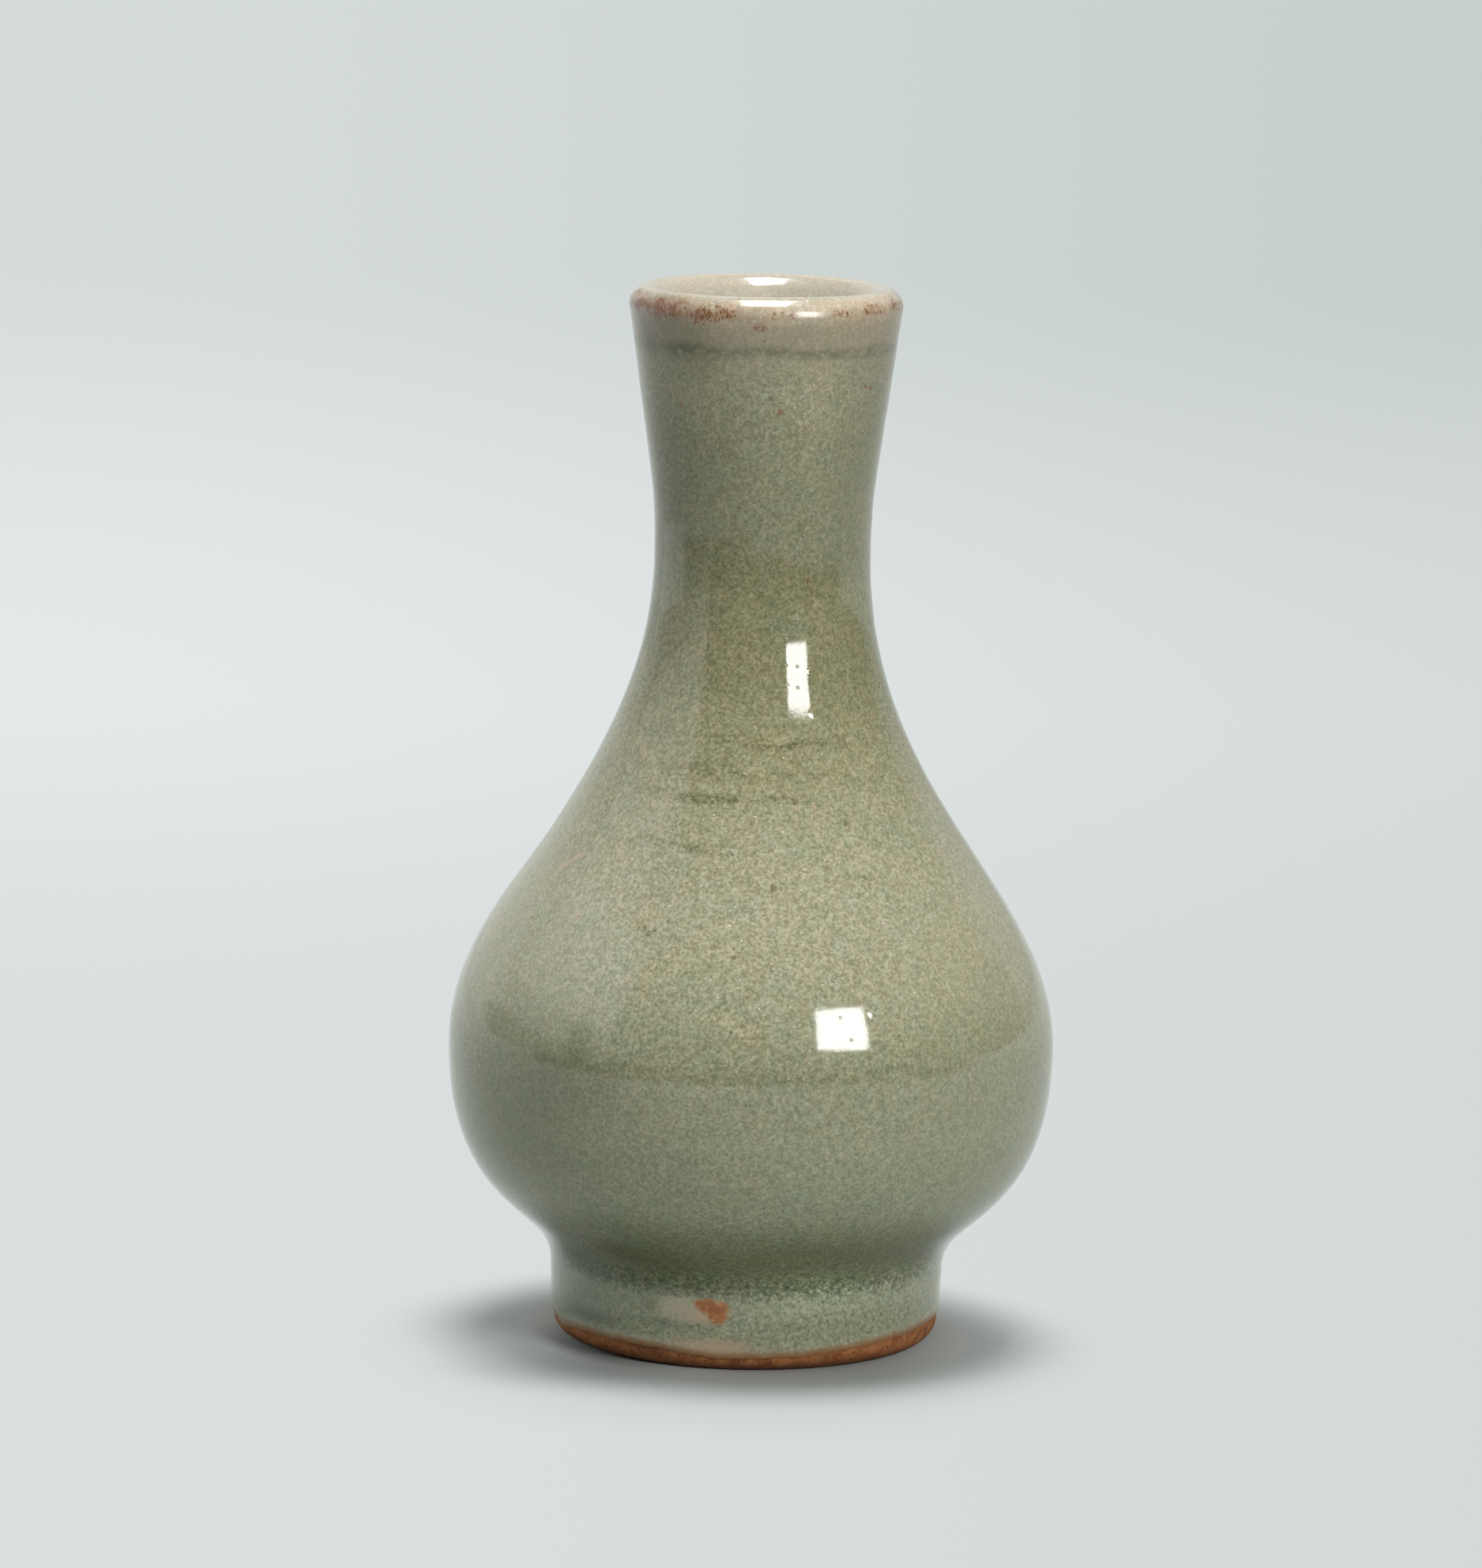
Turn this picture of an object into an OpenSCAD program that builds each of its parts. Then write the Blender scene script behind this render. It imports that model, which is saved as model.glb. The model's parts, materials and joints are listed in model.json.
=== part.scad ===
// Pear-shaped celadon vase, a yuhuchunping: four thrown stoneware sections,
// three bands of luting slip that join them, and three coats of glaze.
// It stands on the plane z = 0 with its axis on Z. Lengths are in millimetres.

/* [Silhouette] */
// Height from the table to the crest of the lip
vase_h = 140; // [130:1:160]
// Outside diameter of the lip
mouth_d = 36; // [32:0.5:44]
// Angle at which the mouth flares away from the axis, in degrees
mouth_flare = 7.4; // [3:0.2:14]
// Length of the nearly straight run of the flare below the lip
mouth_run = 23; // [14:1:26]
// Outside diameter of the neck at its waist
waist_d = 28.6; // [24:0.2:34]
// Height of the waist
waist_z = 105; // [98:1:112]
// Length over which the curve leaves the waist upwards
waist_pull_up = 9.4; // [5:0.2:14]
// Length over which the curve leaves the waist downwards
waist_pull_down = 33; // [22:1:40]
// Outside diameter of the belly at its widest
belly_d = 80.4; // [68:0.2:96]
// Height of the widest part of the belly
belly_z = 39; // [33:0.5:46]
// Length over which the curve leaves the widest part upwards
belly_pull_up = 21.6; // [14:0.2:28]
// Length over which the curve leaves the widest part downwards
belly_pull_down = 23; // [16:0.5:27]

/* [Foot] */
// Outside diameter of the foot at its top
foot_d = 52.4; // [46:0.2:60]
// Outside diameter of the foot at the table
foot_base_d = 51.4; // [48:0.2:58]
// Height at which the foot wall ends and the belly springs from it
foot_top_z = 9.2; // [7:0.2:12]
// Length over which the belly's curve leaves the foot wall
foot_pull = 8.9; // [5:0.1:12]
// Rounding of the foot's outer edge at the table
foot_round = 2.5; // [1:0.1:2.8]
// Inside diameter of the foot ring at the table
foot_bore_d = 38.4; // [32:0.2:42]
// Draft of the foot ring's inside wall, in degrees
foot_bore_draft = 5; // [0:0.5:12]
// Rounding of the foot ring's inner edge at the table
foot_bore_round = 1; // [0.4:0.1:2]
// Depth of the recess under the vase
recess_z = 8; // [6:0.2:9.5]

/* [Walls] */
// Thickness of the clay in the neck and the lip
neck_wall = 3.6; // [2.6:0.1:5]
// Thickness of the clay at the widest part of the belly
belly_wall = 4.2; // [3:0.1:6]
// Thickness of the clay floor
floor_t = 7; // [4:0.2:9]
// Width over which the floor inside runs out flat from the axis
bowl_flat = 20; // [12:0.5:26]
// Height over which the inside of the bowl turns up into the wall
bowl_rise = 14; // [8:0.5:18]

/* [Seams] */
// Thickness of a band of luting slip
slip_t = 0.6; // [0.3:0.1:1.2]
// Drop of a seam from the outside of the wall to the inside
seam_bevel = 2; // [0.5:0.1:3.5]
// Height of the foot seam on the outside
foot_seam_z = 10.4; // [9.6:0.2:12]
// Height of the belly seam above the widest part
belly_seam_rise = 3; // [2:0.5:8]
// Height of the neck seam on the outside
neck_seam_z = 76; // [68:0.5:90]
// Height of the ridge that a seam leaves inside the vase
seam_ridge_t = 0.8; // [0:0.1:1.5]
// Half width of that ridge
seam_ridge_w = 2.2; // [1.4:0.1:4]

/* [Glaze] */
// Depth of the green glaze on the outside
outer_glaze_t = 0.45; // [0.3:0.05:0.8]
// Depth of the lining glaze
inner_glaze_t = 0.35; // [0.25:0.05:0.7]
// Depth of the glaze under the base
base_glaze_t = 0.4; // [0.25:0.05:0.8]
// Depth to which a coat thins at the lip and at its lower edge
edge_glaze_t = 0.25; // [0.15:0.01:0.3]
// Height over which a coat thins towards an edge
glaze_taper = 3; // [1:0.2:5]
// Height of the lower edge of the green glaze
glaze_line_z = 3; // [2.8:0.1:5]
// Extra depth where the glaze gathers in the cove above the foot
cove_pool_t = 0.4; // [0:0.05:0.6]
// Height of the gathered glaze above the top of the foot wall
cove_pool_rise = 4; // [2:0.2:7]
// Half width of the gathered glaze
cove_pool_w = 4.5; // [2:0.2:7]
// Extra depth of the roll of glaze below the lip
lip_roll_t = 0.2; // [0:0.05:0.4]
// Drop of that roll below the crest of the lip
lip_roll_drop = 6.5; // [5:0.2:9]
// Half width of that roll
lip_roll_w = 1.4; // [0.8:0.1:1.8]
// Height of the glaze's lower edge inside the foot ring
base_glaze_line_z = 3; // [2.5:0.1:4.5]
// Rounding of the glaze in the corner of the recess
base_glaze_round = 1.6; // [0.5:0.1:2.5]

/* [Hidden] */
$fn = 96;

// Longest step in height between two points of a profile
station_step = 1.5;
// Steps in a quarter turn of a rounded edge
arc_steps = 8;
// Steps along the inside of the bowl
bowl_steps = 26;
// Halvings that find a height on a curve
search_depth = 32;

clay_colour = [0.80, 0.73, 0.62];
foot_colour = [0.66, 0.40, 0.22];
slip_colour = [0.72, 0.62, 0.48];
celadon_colour = [0.56, 0.56, 0.44];
lining_colour = [0.80, 0.77, 0.66];

// The lip is fully rounded: its rounding is half of the finished wall.
lip_round = (outer_glaze_t + neck_wall + inner_glaze_t) / 2;
lip_centre = [mouth_d / 2 - lip_round, vase_h - lip_round];
lip_start = lip_centre + lip_round * [cos(mouth_flare), -sin(mouth_flare)];

// The finished outline, in three curves above the straight foot wall
belly_curve = [
    [foot_d / 2, foot_top_z],
    [foot_d / 2, foot_top_z + foot_pull],
    [belly_d / 2, belly_z - belly_pull_down],
    [belly_d / 2, belly_z]
];
shoulder_curve = [
    [belly_d / 2, belly_z],
    [belly_d / 2, belly_z + belly_pull_up],
    [waist_d / 2, waist_z - waist_pull_down],
    [waist_d / 2, waist_z]
];
mouth_curve = [
    [waist_d / 2, waist_z],
    [waist_d / 2, waist_z + waist_pull_up],
    lip_start - mouth_run * [tan(mouth_flare), 1],
    lip_start
];

cove_pool_z = foot_top_z + cove_pool_rise;
lip_roll_z = vase_h - lip_roll_drop;
clay_floor_z = recess_z + floor_t;

lip_start_z = lip_start.y;
belly_seam_z = belly_z + belly_seam_rise;

// Upper faces of the seams on the outside, and both faces of the upper seams on the inside
foot_seam_top_z = foot_seam_z + slip_t;
belly_seam_top_z = belly_seam_z + slip_t;
neck_seam_top_z = neck_seam_z + slip_t;
belly_seam_in_z = belly_seam_z - seam_bevel;
belly_seam_in_top_z = belly_seam_in_z + slip_t;
neck_seam_in_z = neck_seam_z - seam_bevel;
neck_seam_in_top_z = neck_seam_in_z + slip_t;

// A smooth step from 0 at a to 1 at b
function ramp(a, b, x) = let(t = min(1, max(0, (x - a) / (b - a)))) t * t * (3 - 2 * t);

// A rounded hump of height 1
function hump(x, centre, width) = exp(-pow((x - centre) / width, 2));

// A point on a cubic curve with four control points, and its direction there
function curve_point(p, t) =
    pow(1 - t, 3) * p[0] + 3 * t * pow(1 - t, 2) * p[1] + 3 * t * t * (1 - t) * p[2] + pow(t, 3) * p[3];
function curve_direction(p, t) =
    pow(1 - t, 2) * (p[1] - p[0]) + 2 * t * (1 - t) * (p[2] - p[1]) + t * t * (p[3] - p[2]);

// The place along a rising curve where it reaches height z, by halving
function curve_place(p, z, low = 0, high = 1, depth = search_depth) =
    let(middle = (low + high) / 2)
    depth == 0 ? middle
    : curve_point(p, middle).y < z ? curve_place(p, z, middle, high, depth - 1)
    : curve_place(p, z, low, middle, depth - 1);

// The finished outline at height z: a point and the outward normal
function normal_to(direction) = [direction.y, -direction.x] / norm(direction);
function foot_station(z) =
    let(lean = (foot_d - foot_base_d) / 2 / foot_top_z)
    [[foot_base_d / 2 + lean * z, z], normal_to([lean, 1])];
function curve_station(p, z) =
    let(t = curve_place(p, z))
    [curve_point(p, t), normal_to(curve_direction(p, t))];
function station(z) =
    z < foot_top_z ? foot_station(z)
    : z < belly_z ? curve_station(belly_curve, z)
    : z < waist_z ? curve_station(shoulder_curve, z)
    : curve_station(mouth_curve, z);

// The point at a given depth under the finished outline
function at_depth(z, depth) = let(s = station(z)) s[0] - depth * s[1];

// Depth of the green glaze: thin at both edges, gathered in the cove and in a roll below the lip
function glaze_depth(z) =
    let(above_line = ramp(glaze_line_z, glaze_line_z + glaze_taper, z))
    let(below_lip = 1 - ramp(lip_start_z - glaze_taper, lip_start_z, z))
    edge_glaze_t
    + (outer_glaze_t - edge_glaze_t) * above_line * below_lip
    + cove_pool_t * hump(z, cove_pool_z, cove_pool_w)
    + lip_roll_t * hump(z, lip_roll_z, lip_roll_w);

// Depth from the finished outside to the finished inside, with the ridge at each seam
function wall_depth(z) =
    let(neck_share = ramp(belly_z, waist_z, z))
    outer_glaze_t + inner_glaze_t
    + belly_wall * (1 - neck_share) + neck_wall * neck_share
    + seam_ridge_t * hump(z, belly_seam_in_z + slip_t / 2, seam_ridge_w)
    + seam_ridge_t * hump(z, neck_seam_in_z + slip_t / 2, seam_ridge_w);

function glaze_outside(z) = at_depth(z, 0);
function clay_outside(z) = at_depth(z, glaze_depth(z));
function clay_inside(z) = at_depth(z, wall_depth(z) - inner_glaze_t);
function glaze_inside(z) = at_depth(z, wall_depth(z));

// Heights from a to b in even steps; heights through a list of breaks, each one once
function heights(a, b) =
    let(n = ceil((b - a) / station_step))
    [for (i = [0 : n]) a + (b - a) * i / n];
function heights_through(breaks) = [
    for (k = [0 : len(breaks) - 2])
        let(run = heights(breaks[k], breaks[k + 1]))
            for (z = k == 0 ? run : without_first(run)) z
];
function without_first(list) = [for (i = [1 : len(list) - 1]) list[i]];
function reversed(list) = [for (i = [len(list) - 1 : -1 : 0]) list[i]];

// The lip's rounding at an angle, a given depth under the glaze
function lip_point(angle, depth) =
    lip_centre + (lip_round - depth) * [cos(angle), sin(angle)];
function lip_glaze_depth(angle) =
    edge_glaze_t
    + (inner_glaze_t - edge_glaze_t) * max(0, angle - 90) / (90 - mouth_flare);
lip_outer_angles = [for (i = [1 : arc_steps]) -mouth_flare + (90 + mouth_flare) * i / arc_steps];
lip_inner_angles = [for (i = [0 : arc_steps - 1]) 90 + (90 - mouth_flare) * i / arc_steps];

// The inside of the bowl, from the axis to the belly seam, at a depth under the lining
function bowl(depth) =
    let(top = at_depth(belly_seam_in_z, wall_depth(belly_seam_in_z) - depth))
    let(floor_z = clay_floor_z + inner_glaze_t - depth)
    let(curve = [[0, floor_z], [bowl_flat, floor_z], top - [0, bowl_rise], top])
    [for (i = [0 : bowl_steps]) curve_point(curve, i / bowl_steps)];

// The inside wall of the foot ring
function bore_wall(z) = [foot_bore_d / 2 - z * tan(foot_bore_draft), z];

// A closed outline turned about the axis
module turned(outline) {
    rotate_extrude() polygon(outline);
}

// A band of slip between two sections, from its lower and upper heights outside and inside
module slip_band(out_low, out_high, in_low, in_high) {
    color(slip_colour)
        turned([
            clay_outside(out_low),
            clay_outside(out_high),
            clay_inside(in_high),
            clay_inside(in_low)
        ]);
}

// The ring that the vase stands on, with rounded edges and a bevelled seat for the bowl
module foot_ring() {
    edge = clay_outside(foot_round);
    quarter = [for (i = [0 : arc_steps]) 90 * i / arc_steps];
    outer_edge = [for (a = quarter) [edge.x - foot_round * (1 - sin(a)), edge.y * (1 - cos(a))]];
    wall_heights = without_first(heights_through([foot_round, glaze_line_z, foot_seam_z]));
    bore_start = bore_wall(foot_bore_round);
    inner_edge = [
        for (a = quarter)
            [bore_start.x + foot_bore_round * (1 - cos(a)), foot_bore_round * (1 - sin(a))]
    ];
    color(foot_colour)
        turned(concat(
            outer_edge,
            [for (z = wall_heights) clay_outside(z)],
            [bore_wall(recess_z - slip_t)],
            inner_edge
        ));
}

// The slip on the foot ring's bevelled seat
module foot_slip_seam() {
    color(slip_colour)
        turned([
            clay_outside(foot_seam_z),
            clay_outside(foot_seam_top_z),
            bore_wall(recess_z),
            bore_wall(recess_z - slip_t)
        ]);
}

// The thrown bowl, with the floor of the vase
module lower_belly() {
    color(clay_colour)
        turned(concat(
            [for (z = heights(foot_seam_top_z, belly_seam_z)) clay_outside(z)],
            reversed(bowl(inner_glaze_t)),
            [[0, recess_z], bore_wall(recess_z)]
        ));
}

module belly_slip_seam() {
    slip_band(belly_seam_z, belly_seam_top_z, belly_seam_in_z, belly_seam_in_top_z);
}

// The shoulder, from the belly seam to the root of the neck
module upper_belly() {
    color(clay_colour)
        turned(concat(
            [for (z = heights(belly_seam_top_z, neck_seam_z)) clay_outside(z)],
            [for (z = reversed(heights(belly_seam_in_top_z, neck_seam_in_z))) clay_inside(z)]
        ));
}

module neck_slip_seam() {
    slip_band(neck_seam_z, neck_seam_top_z, neck_seam_in_z, neck_seam_in_top_z);
}

// The neck with the flared mouth and the rounded lip
module neck_tube() {
    color(clay_colour)
        turned(concat(
            [for (z = heights(neck_seam_top_z, lip_start_z)) clay_outside(z)],
            [for (a = lip_outer_angles) lip_point(a, lip_glaze_depth(a))],
            [for (a = without_first(lip_inner_angles)) lip_point(a, lip_glaze_depth(a))],
            [for (z = reversed(heights(neck_seam_in_top_z, lip_start_z))) clay_inside(z)]
        ));
}

// The green coat, from its lower edge on the foot to the crest of the lip
module outer_glaze() {
    coated = heights_through([
        glaze_line_z, foot_seam_z, foot_seam_top_z, belly_seam_z,
        belly_seam_top_z, neck_seam_z, neck_seam_top_z, lip_start_z
    ]);
    color(celadon_colour)
        turned(concat(
            [for (z = coated) glaze_outside(z)],
            [for (a = lip_outer_angles) lip_point(a, 0)],
            [for (a = reversed(lip_outer_angles)) lip_point(a, lip_glaze_depth(a))],
            [for (z = reversed(coated)) clay_outside(z)]
        ));
}

// The lining, from the crest of the lip to the floor
module inner_glaze() {
    lined = without_first(heights_through([
        belly_seam_in_z, belly_seam_in_top_z, neck_seam_in_z, neck_seam_in_top_z, lip_start_z
    ]));
    color(lining_colour)
        turned(concat(
            bowl(0),
            [for (z = lined) glaze_inside(z)],
            [for (a = reversed(lip_inner_angles)) lip_point(a, 0)],
            [for (a = lip_inner_angles) lip_point(a, lip_glaze_depth(a))],
            [for (z = reversed(lined)) clay_inside(z)],
            reversed(bowl(inner_glaze_t))
        ));
}

// The glaze in the recess, rounded where it gathers in the corner
module base_glaze() {
    wall_coat = [edge_glaze_t, 0];
    ceiling_z = recess_z - base_glaze_t;
    corner = bore_wall(ceiling_z - base_glaze_round) - wall_coat;
    color(celadon_colour)
        turned(concat(
            [[0, ceiling_z], [0, recess_z], bore_wall(recess_z), bore_wall(recess_z - slip_t)],
            [bore_wall(base_glaze_line_z), bore_wall(base_glaze_line_z) - wall_coat],
            [
                for (i = [0 : arc_steps])
                    let(a = 90 * i / arc_steps)
                        corner + base_glaze_round * [cos(a) - 1, sin(a)]
            ]
        ));
}

foot_ring();
foot_slip_seam();
lower_belly();
belly_slip_seam();
upper_belly();
neck_slip_seam();
neck_tube();
outer_glaze();
inner_glaze();
base_glaze();
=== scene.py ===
# %% [markdown]
# # A pear-shaped celadon vase
#
# This lesson dresses a small stoneware vase that was built first as a CAD model. The CAD model
# arrives as ten solids in their real places: four clay sections, three bands of slip and three
# coats of glaze. It is the fixed frame of the scene, so nothing in it is moved or resized here.
#
# What the eye sees is only the glaze and a narrow edge of bare clay at the foot. Those pieces are
# made again below as fine surfaces, with the small unevenness of hand work, and they stand for
# their CAD solids. The clay and the slip inside keep their CAD solids and get a finish.

# %% Load the frame
import json
import math

import bpy
import numpy as np
from mathutils import Matrix, Vector


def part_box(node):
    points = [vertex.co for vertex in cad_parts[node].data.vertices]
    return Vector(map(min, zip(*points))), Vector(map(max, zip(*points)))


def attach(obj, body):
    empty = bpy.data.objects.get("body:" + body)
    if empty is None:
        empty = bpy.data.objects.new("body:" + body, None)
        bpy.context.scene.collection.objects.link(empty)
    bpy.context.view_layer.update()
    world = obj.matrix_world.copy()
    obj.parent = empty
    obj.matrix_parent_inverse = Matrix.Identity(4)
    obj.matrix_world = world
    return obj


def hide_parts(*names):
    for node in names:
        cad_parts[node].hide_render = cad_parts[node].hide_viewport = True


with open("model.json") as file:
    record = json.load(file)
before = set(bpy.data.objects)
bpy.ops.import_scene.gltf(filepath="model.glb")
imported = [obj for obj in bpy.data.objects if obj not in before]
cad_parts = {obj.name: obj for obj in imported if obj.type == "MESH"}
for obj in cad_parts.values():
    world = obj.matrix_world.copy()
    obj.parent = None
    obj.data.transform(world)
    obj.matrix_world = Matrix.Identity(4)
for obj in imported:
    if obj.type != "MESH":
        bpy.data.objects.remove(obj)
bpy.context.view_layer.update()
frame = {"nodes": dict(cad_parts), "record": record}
print("CAD nodes:", sorted(frame["nodes"]))

# %% [markdown]
# ## The camera
#
# The photograph was taken from about a metre away, a little above the mouth, with a long lens.
# The place, the three turns and the focal length below bring the vase's outline onto the
# photographed one. They are written as a photographer would note them, and the focal length is
# given in pixels of the photograph, because that is how it was measured. A Blender camera looks
# straight down until it is turned, so a quarter turn about X lifts it to the horizon, less the
# pitch. The yaw turns it about the upright axis, and the roll about its own.

# %% Camera
PHOTO_SIZE = (1876, 1985)
FOCAL_PIXELS = 10075.5
SENSOR_MM = 36.0
CAMERA_PLACE = (0.0, -1.0395, 0.24196)
CAMERA_PITCH = math.radians(9.19)
CAMERA_YAW = math.radians(-0.11)
CAMERA_ROLL = math.radians(1.20)
NEAREST_SEEN, FARTHEST_SEEN = 0.05, 50.0

camera = bpy.data.objects.new("camera", bpy.data.cameras.new("camera"))
bpy.context.scene.collection.objects.link(camera)
aimed = Matrix.Rotation(-CAMERA_YAW, 4, "Z") @ Matrix.Rotation(math.pi / 2 - CAMERA_PITCH, 4, "X")
rolled = aimed @ Matrix.Rotation(CAMERA_ROLL, 4, "Z")
camera.matrix_world = Matrix.Translation(CAMERA_PLACE) @ rolled
camera.data.sensor_width = SENSOR_MM
camera.data.lens = FOCAL_PIXELS * SENSOR_MM / max(PHOTO_SIZE)
camera.data.clip_start = NEAREST_SEEN
camera.data.clip_end = FARTHEST_SEEN
bpy.context.scene.camera = camera
print("Focal length in mm:", round(camera.data.lens, 1))

# %% [markdown]
# ## The outline
#
# A thrown pot is a turned outline. This one has a short foot wall, three smooth curves and a
# fully rounded lip. Each curve is a cubic with four control points, whose outer two lie on the
# pot and whose inner two pull it into shape. The same sizes, in millimetres, drive the CAD model,
# and the printed radii show that the outline still agrees with it.

# %% Outline of the finished outside
MM = 0.001
FOOT_BASE_R, FOOT_R, FOOT_TOP_Z = 25.7, 26.2, 9.2
BELLY_R, BELLY_Z = 40.2, 39.0
WAIST_R, WAIST_Z = 14.3, 105.0
MOUTH_R, LIP_TOP_Z, LIP_ROUND = 18.0, 140.0, 2.2
MOUTH_FLARE = math.radians(7.4)
FOOT_PULL, BELLY_PULL_DOWN, BELLY_PULL_UP = 8.9, 23.0, 21.6
WAIST_PULL_DOWN, WAIST_PULL_UP, MOUTH_RUN = 33.0, 9.4, 23.0
CURVE_STEPS = 400

LIP_CENTRE = np.array([MOUTH_R - LIP_ROUND, LIP_TOP_Z - LIP_ROUND])
LIP_START = LIP_CENTRE + LIP_ROUND * np.array([math.cos(MOUTH_FLARE), -math.sin(MOUTH_FLARE)])


def cubic(points, steps):
    """Points on a cubic curve: the four control points weighted by (1-t)^3, 3t(1-t)^2 and so on."""
    t = np.linspace(0.0, 1.0, steps)[:, None]
    a, b, c, d = (np.asarray(p, float) for p in points)
    return (1 - t) ** 3 * a + 3 * t * (1 - t) ** 2 * b + 3 * t * t * (1 - t) * c + t ** 3 * d


belly_curve = [
    (FOOT_R, FOOT_TOP_Z), (FOOT_R, FOOT_TOP_Z + FOOT_PULL),
    (BELLY_R, BELLY_Z - BELLY_PULL_DOWN), (BELLY_R, BELLY_Z),
]
shoulder_curve = [
    (BELLY_R, BELLY_Z), (BELLY_R, BELLY_Z + BELLY_PULL_UP),
    (WAIST_R, WAIST_Z - WAIST_PULL_DOWN), (WAIST_R, WAIST_Z),
]
mouth_curve = [
    (WAIST_R, WAIST_Z), (WAIST_R, WAIST_Z + WAIST_PULL_UP),
    LIP_START - MOUTH_RUN * np.array([math.tan(MOUTH_FLARE), 1.0]), LIP_START,
]
outside = np.vstack([
    [(FOOT_BASE_R, 0.0)],
    cubic(belly_curve, CURVE_STEPS),
    cubic(shoulder_curve, CURVE_STEPS)[1:],
    cubic(mouth_curve, CURVE_STEPS)[1:],
])
outside_slope = np.gradient(outside[:, 0], outside[:, 1])


def outside_point(z, depth=0.0):
    """Points of the outline at heights z, moved in along the normal by a depth."""
    r = np.interp(z, outside[:, 1], outside[:, 0])
    slope = np.interp(z, outside[:, 1], outside_slope)
    length = np.sqrt(1 + slope ** 2)
    return np.stack([r - depth / length, z + depth * slope / length], axis=-1)


def on_wall(angle, z):
    """The point of the outside at an angle from the front, in degrees, and at a height."""
    r = float(outside_point(z)[0])
    return (r * math.sin(math.radians(angle)), -r * math.cos(math.radians(angle)), z)


cad_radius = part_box("outer_glaze")[1].x / MM
print("Belly radius here and in the frame:", BELLY_R, round(cad_radius, 2))

# %% [markdown]
# ## How deep the glaze lies
#
# Glaze runs while it melts. It thins over the lip and at its lower edge, gathers in the cove above
# the foot, and leaves a soft roll below the lip. The depth is a sum of smooth steps and humps, as
# in the CAD model, so the inner side of each coat lies exactly on the clay.

# %% Depths of the coats
OUTER_GLAZE, INNER_GLAZE, BASE_GLAZE, EDGE_GLAZE = 0.45, 0.35, 0.4, 0.25
GLAZE_LINE_Z, GLAZE_TAPER = 3.0, 3.0
COAT_RISE = (GLAZE_LINE_Z, GLAZE_LINE_Z + GLAZE_TAPER)
COAT_FALL = (LIP_START[1] - GLAZE_TAPER, LIP_START[1])
COVE_POOL_Z = 13.2
# Depth of a pool, its height on the wall and its width.
GLAZE_POOLS = ((0.4, COVE_POOL_Z, 4.5), (0.2, 133.5, 1.4))


def ramp(low, high, x):
    """A smooth step from 0 at low to 1 at high: 3t^2 - 2t^3."""
    t = np.clip((x - low) / (high - low), 0.0, 1.0)
    return t * t * (3 - 2 * t)


def between(rise, fall, x):
    """1 between two smooth steps: up within the limits of the rise, down within those of the fall."""
    return ramp(*rise, x) * (1 - ramp(*fall, x))


def hump(x, centre, width):
    """A rounded hump of height 1 at its centre: e to the power of -(distance/width)^2."""
    return np.exp(-((x - centre) / width) ** 2)


def humps(x, rows):
    """A sum of humps, from rows of a height, a centre and a width."""
    return sum(height * hump(x, centre, width) for height, centre, width in rows)


def glaze_depth(z):
    """Depth of the outer glaze: an even coat that fades to both edges, plus its two pools."""
    body = (OUTER_GLAZE - EDGE_GLAZE) * between(COAT_RISE, COAT_FALL, z)
    return EDGE_GLAZE + body + humps(z, GLAZE_POOLS)


measured_z = np.array([GLAZE_LINE_Z, COVE_POOL_Z, BELLY_Z, LIP_START[1]])
print("Glaze depth at its edge, cove, belly and lip:", np.round(glaze_depth(measured_z), 2))

# %% [markdown]
# ## The hand in the shape
#
# No thrown pot is a perfect turned form. It is a little oval, its axis wanders, the fingers leave
# a faint spiral, and the glaze lies in soft waves. A sculptor would push these in by hand. Here
# they are sums of sines of height and of the angle round the pot, which can be read and changed.
# They stay under three tenths of a millimetre, and under half of one in a hollow on the left of
# the shoulder, so they never reach the clay, but the reflections on the glaze show them clearly.

# %% Unevenness of the outside and of the lip
OVAL, THREE_SIDED = 0.07, 0.03
WANDER, WANDER_Z, WANDER_W = 0.2, 98.0, 34.0
LEFT_SLUMPS = ((0.2, 83.0, 9.0), (-0.32, 64.5, 6.5))
SPIRAL, SPIRAL_PITCH = 0.008, 5.3
RIPPLE, CROSS_RIPPLE = 0.012, 0.010
COVE_WAVE, COVE_WAVE_Z, COVE_WAVE_W = 0.07, COVE_POOL_Z + 1.0, 5.0
STEADY_FOOT, STEADY_MOUTH, STEADY_SHARE = (GLAZE_LINE_Z, GLAZE_LINE_Z + 6.0), (130.0, 138.0), 0.6
LIP_WAVES, LIP_WAVE_Z = ((0.06, 1, -0.2), (0.05, 2, 1.1), (0.025, 5, 0.3)), (128.0, 138.0)
EDGE_SWING = 0.42
EDGE_BUMPS = ((0.35, -27.0, 9.0), (-0.6, -68.0, 10.0), (-0.65, -5.0, 38.0))
EDGE_TREMBLE = ((0.05, 17, 0.4), (0.04, 29, 2.0), (0.03, 53, 0.0))


def waves(angle, rows):
    """A sum of sines round the pot, from rows of a height, a count of waves and a start."""
    return sum(height * np.sin(count * angle + start) for height, count, start in rows)


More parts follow.
